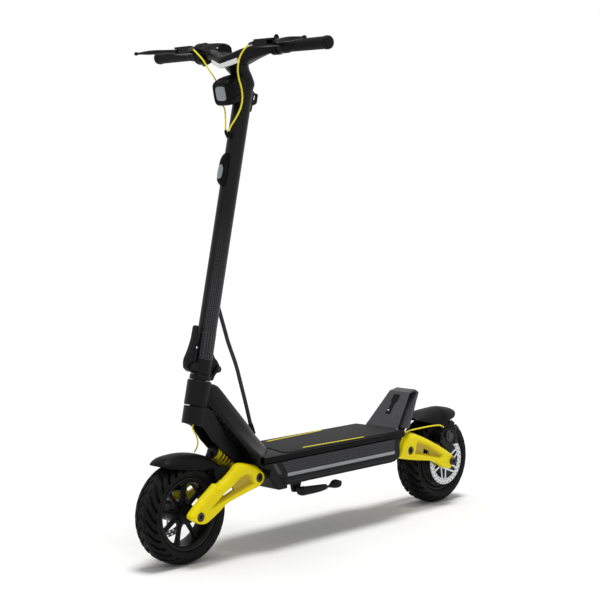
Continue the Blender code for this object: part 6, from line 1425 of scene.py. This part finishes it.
CHEEK = [(-0.0444, 0.3545), (-0.0490, 0.3580), (-0.0500, 0.3625), (-0.0485, 0.3675), (-0.0444, 0.3705),
         (-0.012, 0.3825), (-0.012, 0.3525)]
base = [(turned(BASE, STEER_BASE, STEER_UP, 64), powder_coat),
        (turned(SOCKET, STEER_BASE, STEER_UP, 72), stem_twill),
        (slab(KNUCKLE, -0.0075, 0.0075, 0.0018, steer, 0.003), powder_coat)]
base += [(cheek, powder_coat) for cheek in pair_of_plates(CHEEK, 0.0090, 0.0150, 0.0014, steer, 0.003)]
piece("stem_foot", base, "stem", ["stem_base"])

# %% Fold bracket, pin and lever
PLATE = [(0.0148, 0.3336), (0.0258, 0.3336), (0.0266, 0.3344), (0.0266, 0.3462), (0.0258, 0.3470),
         (0.0148, 0.3470)]
FOLD_LUG = [
    (0.018, 0.3356), (0.0335, 0.3366), (0.0365, 0.3480), (0.0430, 0.3580), (0.0500, 0.3592),
    (0.0562, 0.3630), (0.0568, 0.3700), (0.0530, 0.3752), (0.0460, 0.3764), (0.0402, 0.3715),
    (0.0285, 0.3500), (0.018, 0.3460)]
bracket = [(turned(PLATE, STEER_BASE, STEER_UP, 64, ring=True), powder_coat)]
bracket += [(lug, powder_coat) for lug in pair_of_plates(FOLD_LUG, 0.0078, 0.0138, 0.0014, steer, 0.004)]
piece("fold_plate", bracket, "fork", ["fold_bracket"])
FOLD_PIN = np.array([0.364924, 0, 0.475233])
PIN_HEAD = (0.0062, 0.0022, 0.0024)
shank = [(0.0, -0.0145), (0.004, -0.0145), (0.004, 0.0145), (0.0, 0.0145)]
pin = [(turned(shank, FOLD_PIN, Y, 24), black_oxide)]
pin += [(socket_head(FOLD_PIN + Y * side * 0.0138, side, *PIN_HEAD), black_oxide) for side in (1, -1)]
piece("fold_pin", pin, "fork", ["fold_hinge_pin"])

LEVER = np.array([(0.0080, -0.0113), (0.0010, -0.0135), (-0.0140, -0.0060), (-0.0180, 0.0145),
                  (-0.0095, 0.0395), (-0.0035, 0.0675), (-0.0025, 0.1010), (0.0015, 0.1050),
                  (0.0075, 0.1010), (0.0105, 0.0575), (0.0115, 0.0275), (0.0115, -0.0045)])
LEVER += (-0.0415, 0.3625)
LINK = [(-0.0385, 0.3535), (-0.0305, 0.3560), (-0.0302, 0.3890), (-0.0315, 0.4190), (-0.0375, 0.4205),
        (-0.0400, 0.3900)]
LINK_BOLT = (0.0030, 0.0012, 0.0015)
lever = [(slab(LEVER, -0.0085, 0.0085, 0.0026, steer, 0.008), powder_coat)]
lever += [(link, powder_coat) for link in pair_of_plates(LINK, 0.0080, 0.0102, 0.0008, steer, 0.003)]
for side in (1, -1):
    for along in (0.3610, 0.4120):
        spot = steer(-0.0345, along, side * 0.0100)
        lever.append((socket_head(spot, side, *LINK_BOLT), zinc_plate))
piece("fold_handle_lever", lever, "fold_handle", ["fold_lever"])

# %% Stem pod
# Rings along the stem: distance from the pod's middle, how far it stands proud, and half width.
POD_ALONG = 0.866
POD = [(-0.042, 0.003, 0.0055), (-0.034, 0.0110, 0.0095), (-0.022, 0.0150, 0.0110), (0.018, 0.0130, 0.0110),
       (0.034, 0.0085, 0.0090), (0.042, 0.003, 0.0050)]
WINDOW = [(-0.027, 0.0134, 0.0055), (-0.023, 0.0146, 0.0080), (-0.012, 0.0146, 0.0090),
          (0.000, 0.0139, 0.0088), (0.007, 0.0134, 0.0072), (0.010, 0.0126, 0.0050)]
pod = [oval(steer(-0.0216 - proud / 2, POD_ALONG + step, 0.0), Y, STEER_BACK, wide, proud / 2 + 0.004, 3, 40)
       for step, proud, wide in POD]
window = [oval(steer(-0.0246 - 0.88 * proud, POD_ALONG + step, 0.0), Y, STEER_BACK,
               wide, 0.15 * proud + 0.0018, 2.5, 32) for step, proud, wide in WINDOW]
piece("stem_front_pod", [(lofted(pod, 40), moulded_nylon), (lofted(window, 24), frosted_acrylic)],
      "stem", ["stem_pod"])

# %% [markdown]
# ## Handlebar
# The bar is one casting: a flat beak over the headlight that narrows to round ends for the
# grips, on a column that grows out of the stem. It is drawn as rounded boxes along the bar,
# whose centre, size and squareness change from the middle to the ends.

# %% Bar and chevron
# Half of the bar from its middle: outwards, x, z, half depth, half height and squareness.
BAR_X, BAR_Z = 0.270, 1.2766
BAR_HALF = [
    (0.0, 0.2960, 1.2465, 0.0400, 0.0170, 3.0), (0.022, 0.2915, 1.2520, 0.0360, 0.0175, 3.0),
    (0.046, 0.2870, 1.2600, 0.0315, 0.0180, 3.0), (0.076, 0.2810, 1.2685, 0.0220, 0.0175, 2.6),
    (0.102, 0.2750, 1.2740, 0.0165, 0.0150, 2.3), (0.115, BAR_X, BAR_Z - 0.001, 0.0130, 0.0125, 2.0),
    (0.1235, BAR_X, BAR_Z, 0.011, 0.011, 2.0), (0.140, BAR_X, BAR_Z, 0.011, 0.011, 2.0),
    (0.315, BAR_X, BAR_Z, 0.011, 0.011, 2.0)]
# The column's rings above its foot: up, ahead, half depth and half width.
COLUMN = [(0.0, 0.0, 0.0236, 0.0236), (0.018, 0.008, 0.0242, 0.0246), (0.036, 0.024, 0.0280, 0.0280),
          (0.050, 0.033, 0.0330, 0.0310)]
stations = np.array([(-y, *rest) for y, *rest in BAR_HALF[:0:-1]] + BAR_HALF)
rows = even_curve(stations, 150)
bar = [oval((x, y, z), X, Z, deep, tall, power, 56) for y, x, z, deep, tall, power in rows]
foot = steer(0.0, 1.0925, 0.0)
column = [oval(steer(0.0, 1.0848, 0.0), -STEER_BACK, Y, 0.0236, 0.0236, 2.0, 48)]
column += [oval(foot + Z * rise + X * ahead, X, Y, deep, wide, 2.4, 48)
           for rise, ahead, deep, wide in COLUMN]
piece("bar_casting", [(skin(np.array(bar)), powder_coat), (lofted(column, 30), powder_coat)],
      "stem", ["handlebar"])

CHEVRON_HALF = 0.045
chevron = []
for y in np.linspace(-CHEVRON_HALF, CHEVRON_HALF, 41):
    share = (abs(y) + 0.0012 * bump_at(y, 0.0, 0.002)) / CHEVRON_HALF
    front, low = 0.3385 - 0.0155 * share, 1.2290 + 0.0135 * share
    chevron.append(oval((front - 0.0065, y, low + 0.0055), X, Z, 0.0065, 0.0055, 6.0, 28))
piece("bar_chevron", [(skin(np.array(chevron)), white_acrylic)], "stem", ["chevron_strip"])

# %% Grips
# A grip's outline is a waist between two collars, less a fine wave.
GRIP_START, GRIP_END = 0.176, 0.310
GRIP_WAVE = 0.0067
ends = np.linspace(GRIP_START, GRIP_END, 200)
waves = 0.00012 * (1 + np.cos(2 * np.pi * (ends - GRIP_START) / GRIP_WAVE))
waist = np.interp(ends, [GRIP_START, 0.184, 0.297, 0.307, GRIP_END],
                  [0.0168, 0.0149, 0.0155, 0.0171, 0.0168])
GRIP = [(0.0113, 0.1722), (0.0164, 0.1720), (0.0170, 0.1726)] + list(zip(waist - waves, ends))
GRIP += [(0.0160, 0.3140), (0.0140, 0.3168), (0.0120, 0.3174), (0.0, 0.3174)]
for side, node in ((1, "grip_left"), (-1, "grip_right")):
    grip = turned(GRIP, (BAR_X, 0, BAR_Z), Y * side, 56)
    piece(node + "_rubber", [(grip, grip_rubber)], "stem", [node])

# %% [markdown]
# ## Levers and controls
# A brake lever is a flat bent blade that ends in a ball, so that a hand can't slip off. It is
# drawn as rings along the blade. The throttle is a thumb paddle under the bar, the switch is
# a small toggle, and turned caps and collars dress the display.

# %% Levers and throttle
# A blade's rings from its pivot out: outwards, ahead, half width and half height, with a ball at the tip.
LEVER_X, LEVER_Y, LEVER_Z = 0.318, 0.178, 1.284
BLADE = [(-0.004, 0.0, 0.0072, 0.0044), (0.0085, 0.0035, 0.0088, 0.0047), (0.031, 0.0165, 0.0062, 0.0048),
         (0.060, 0.0248, 0.0056, 0.0058), (0.085, 0.0288, 0.0052, 0.0055), (0.112, 0.0308, 0.0040, 0.0036),
         (0.124, 0.0316, 0.0034, 0.0030), (0.129, 0.0320, 0.0044, 0.0044), (0.1335, 0.0320, 0.0048, 0.0048),
         (0.1370, 0.0320, 0.0028, 0.0028), (0.1375, 0.0320, 0.0004, 0.0004)]
for side, node, body in ((1, "brake_lever_left", "left_brake"), (-1, "brake_lever_right", "right_brake")):
    rings = [oval((LEVER_X + ahead, side * (LEVER_Y + out), LEVER_Z), X, Z, wide, tall, 2.3, 24)
             for out, ahead, wide, tall in BLADE]
    piece(node + "_blade", [(lofted(rings, 70), powder_coat)], body, [node])
THUMB = np.array([(-0.0130, -0.0150), (-0.0210, -0.0110), (-0.0290, -0.0190), (-0.0310, -0.0280),
                  (-0.0270, -0.0300), (-0.0190, -0.0240)]) + (BAR_X, BAR_Z)
spindle = [(0.0, -0.1600), (0.0040, -0.1600), (0.0040, -0.1488), (0.0, -0.1488)]
piece("thumb_paddle", [(slab(THUMB, -0.1660, -0.1520, 0.0025, side_on, 0.006), moulded_nylon),
                       (turned(spindle, (BAR_X - 0.0165, 0, BAR_Z - 0.015), Y, 20), moulded_nylon)],
      "throttle", ["throttle_lever"])

# %% Display trim and switch
cap = [(0.0, 0.0020), (0.0098, 0.0020), (0.0104, 0.0026), (0.0136, 0.0026), (0.0142, 0.0020),
       (0.0142, -0.0030), (0.0, -0.0030)]
collar = [(0.0120, -0.0030), (0.0268, -0.0030), (0.0282, -0.0016), (0.0282, 0.0032), (0.0268, 0.0046),
          (0.0120, 0.0046)]
dot = [(0.0, 0.0012), (0.0012, 0.0012), (0.0018, 0.0006), (0.0018, -0.0020), (0.0, -0.0020)]
piece("display_trim", [(turned(cap, (0.2790, -0.0510, 1.2835), Y, 48), moulded_nylon),
                       (turned(collar, (BAR_X, -0.1270, BAR_Z), Y, 64, ring=True), moulded_nylon),
                       (turned(dot, (0.2965, -0.0510, 1.2850), Y, 20), zinc_plate)], "stem")
TOGGLE = np.array([(-0.004, 0.0), (-0.0028, -0.0028), (0.0, -0.004), (0.0028, -0.0028), (0.004, 0.0),
                   (0.003, 0.0060), (-0.0015, 0.0075)]) + (BAR_X + 0.002, BAR_Z + 0.0245)
toggle = slab(TOGGLE, 0.1332, 0.1412, 0.0008, side_on, 0.002)
piece("switch_toggle", [(toggle, moulded_nylon)], "switch", ["switch_lever"])

# %% [markdown]
# ## Headlight
# The lamp is a box that tapers back to the stem, with slanted cooling fins on its sides and
# a rounded square lens in a bezel. Its rings are tilted down by twelve degrees.

# %% Headlight
# The housing's rings from the bezel back: behind the lens, half width, half height and lift.
DIP = np.radians(12)
SHELL_RINGS = [
    (0.0032, 0.0187, 0.0187, 0.0), (0.0010, 0.0190, 0.0190, 0.0), (-0.0004, 0.0205, 0.0208, 0.0),
    (0.0002, 0.0256, 0.0276, 0.0), (0.0050, 0.0290, 0.0308, 0.0), (0.0120, 0.0300, 0.0325, 0.001),
    (0.026, 0.0302, 0.0345, 0.003), (0.050, 0.0272, 0.0350, 0.005), (0.078, 0.0215, 0.0310, 0.006)]
LENS_RINGS = [(-0.0034, 0.0184), (-0.0018, 0.0184), (-0.0008, 0.0176), (0.0, 0.0140), (0.0004, 0.0080),
              (0.0005, 0.0010)]
FINS = 4
FIN_PITCH = 0.0130
ahead = np.array([np.cos(DIP), 0, -np.sin(DIP)])
upright = np.array([np.sin(DIP), 0, np.cos(DIP)])
lamp = np.array([0.336, 0, 1.166])
shell = [oval(lamp - ahead * back + upright * lift, Y, upright, wide, tall, 4.5, 64)
         for back, wide, tall, lift in SHELL_RINGS]
housing = [(lofted(shell, 60), moulded_nylon)]
for fin in range(FINS):
    for side in (1, -1):
        start = lamp - ahead * 0.016 + upright * (0.0240 - FIN_PITCH * fin)
        line = [start - ahead * 0.030 * t + upright * 0.0060 * t + Y * side * (0.0298 - 0.0022 * t ** 2)
                for t in np.linspace(0, 1, 9)]
        rings = [oval(point, upright, Y, 0.0019, 0.0018, 3, 12) for point in line]
        housing.append((skin(np.array(rings)), moulded_nylon))
piece("lamp_housing", housing, "stem", ["headlight_housing"])
dome = [oval(lamp + ahead * step, Y, upright, size, size, 4, 56) for step, size in LENS_RINGS]
piece("lamp_lens", [(skin(np.array(dome)), lens_flutes)], "stem", ["headlight_lens"])

# %% [markdown]
# ## Kickstand
# The leg lies folded along the deck and has a broad foot at its end. It is drawn as rounded
# boxes along the leg, tilted by the angle at which it splays out when it is swung down.

# %% Kickstand leg
# Rings along the leg: ahead of its pivot, half width, half height and lift.
SPLAY = np.radians(20)
LEG = [(0.012, 0.0075, 0.0090, -0.0055), (0.0, 0.0085, 0.0118, -0.0075),
       (-0.017, 0.0085, 0.0115, -0.0085), (-0.063, 0.0075, 0.0098, -0.0098),
       (-0.089, 0.0065, 0.0072, -0.0094), (-0.091, 0.0045, 0.0042, -0.0100),
       (-0.104, 0.0040, 0.0038, -0.0102), (-0.124, 0.0095, 0.0112, -0.0070),
       (-0.139, 0.0100, 0.0095, -0.0090), (-0.146, 0.0080, 0.0035, -0.0060)]
flat_way = np.array([0, np.cos(SPLAY), np.sin(SPLAY)])
up_way = np.array([0, -np.sin(SPLAY), np.cos(SPLAY)])
stand = np.array([0.134, 0.072, 0.1435])
rings = [oval(stand + X * along + up_way * lift, flat_way, up_way, wide, tall, 3, 32)
         for along, wide, tall, lift in LEG]
piece("stand_leg", [(lofted(rings, 60), powder_coat)], "kickstand", ["kickstand_leg"])

# %% [markdown]
# ## Studio
# The photograph is a cut-out on white with a soft shadow. A pale floor under an even sky and
# one wide sun give that: where nothing shades it the floor renders white, and the shadow
# under the scooter stays. The sky that the camera and reflections see is plain white too.

# %% Floor, light and world
FLOOR_HALF = 30
SUN_ENERGY = 2.05
SUN_WIDTH = np.radians(20)
SUN_WAY = Vector((0.02, -0.06, -1.0))
SKY_LIGHT = 0.46

floor_paint = grained("white_studio_floor", "#fafafa", "#fcfcfc", 0.9, 0.02, 5.0, 0.0, shine=0.1)
floor_mesh = bpy.data.meshes.new("studio_floor")
corners = [(-FLOOR_HALF, -FLOOR_HALF, 0), (FLOOR_HALF, -FLOOR_HALF, 0), (FLOOR_HALF, FLOOR_HALF, 0),
           (-FLOOR_HALF, FLOOR_HALF, 0)]
floor_mesh.from_pydata(corners, [], [(0, 1, 2, 3)])
floor_mesh.materials.append(floor_paint)
floor = bpy.data.objects.new("studio_floor", floor_mesh)
bpy.context.scene.collection.objects.link(floor)

sun_data = bpy.data.lights.new("wide_sun", "SUN")
sun_data.energy = SUN_ENERGY
sun_data.angle = SUN_WIDTH
sun = bpy.data.objects.new("wide_sun", sun_data)
sun.rotation_euler = SUN_WAY.to_track_quat("-Z", "Y").to_euler()
bpy.context.scene.collection.objects.link(sun)

world = bpy.data.worlds.new("studio_sky")
world.use_nodes = True
bpy.context.scene.world = world
sky = world.node_tree.nodes["Background"]
sky.inputs["Color"].default_value = (1, 1, 1, 1)
path_kind = add(world, "ShaderNodeLightPath")
mirrored = add(world, "ShaderNodeMath", {0: path_kind.outputs["Is Glossy Ray"],
                                         1: path_kind.outputs["Is Transmission Ray"]}, operation="MAXIMUM")
seen = add(world, "ShaderNodeMath", {0: path_kind.outputs["Is Camera Ray"], 1: mirrored.outputs["Value"]},
           operation="MAXIMUM")
strength = add(world, "ShaderNodeMapRange", {"Value": seen.outputs["Value"]},
               {"To Min": SKY_LIGHT, "To Max": 1.0})
world.node_tree.links.new(strength.outputs["Result"], sky.inputs["Strength"])
bpy.context.scene.view_settings.view_transform = "Standard"
print("studio ready")
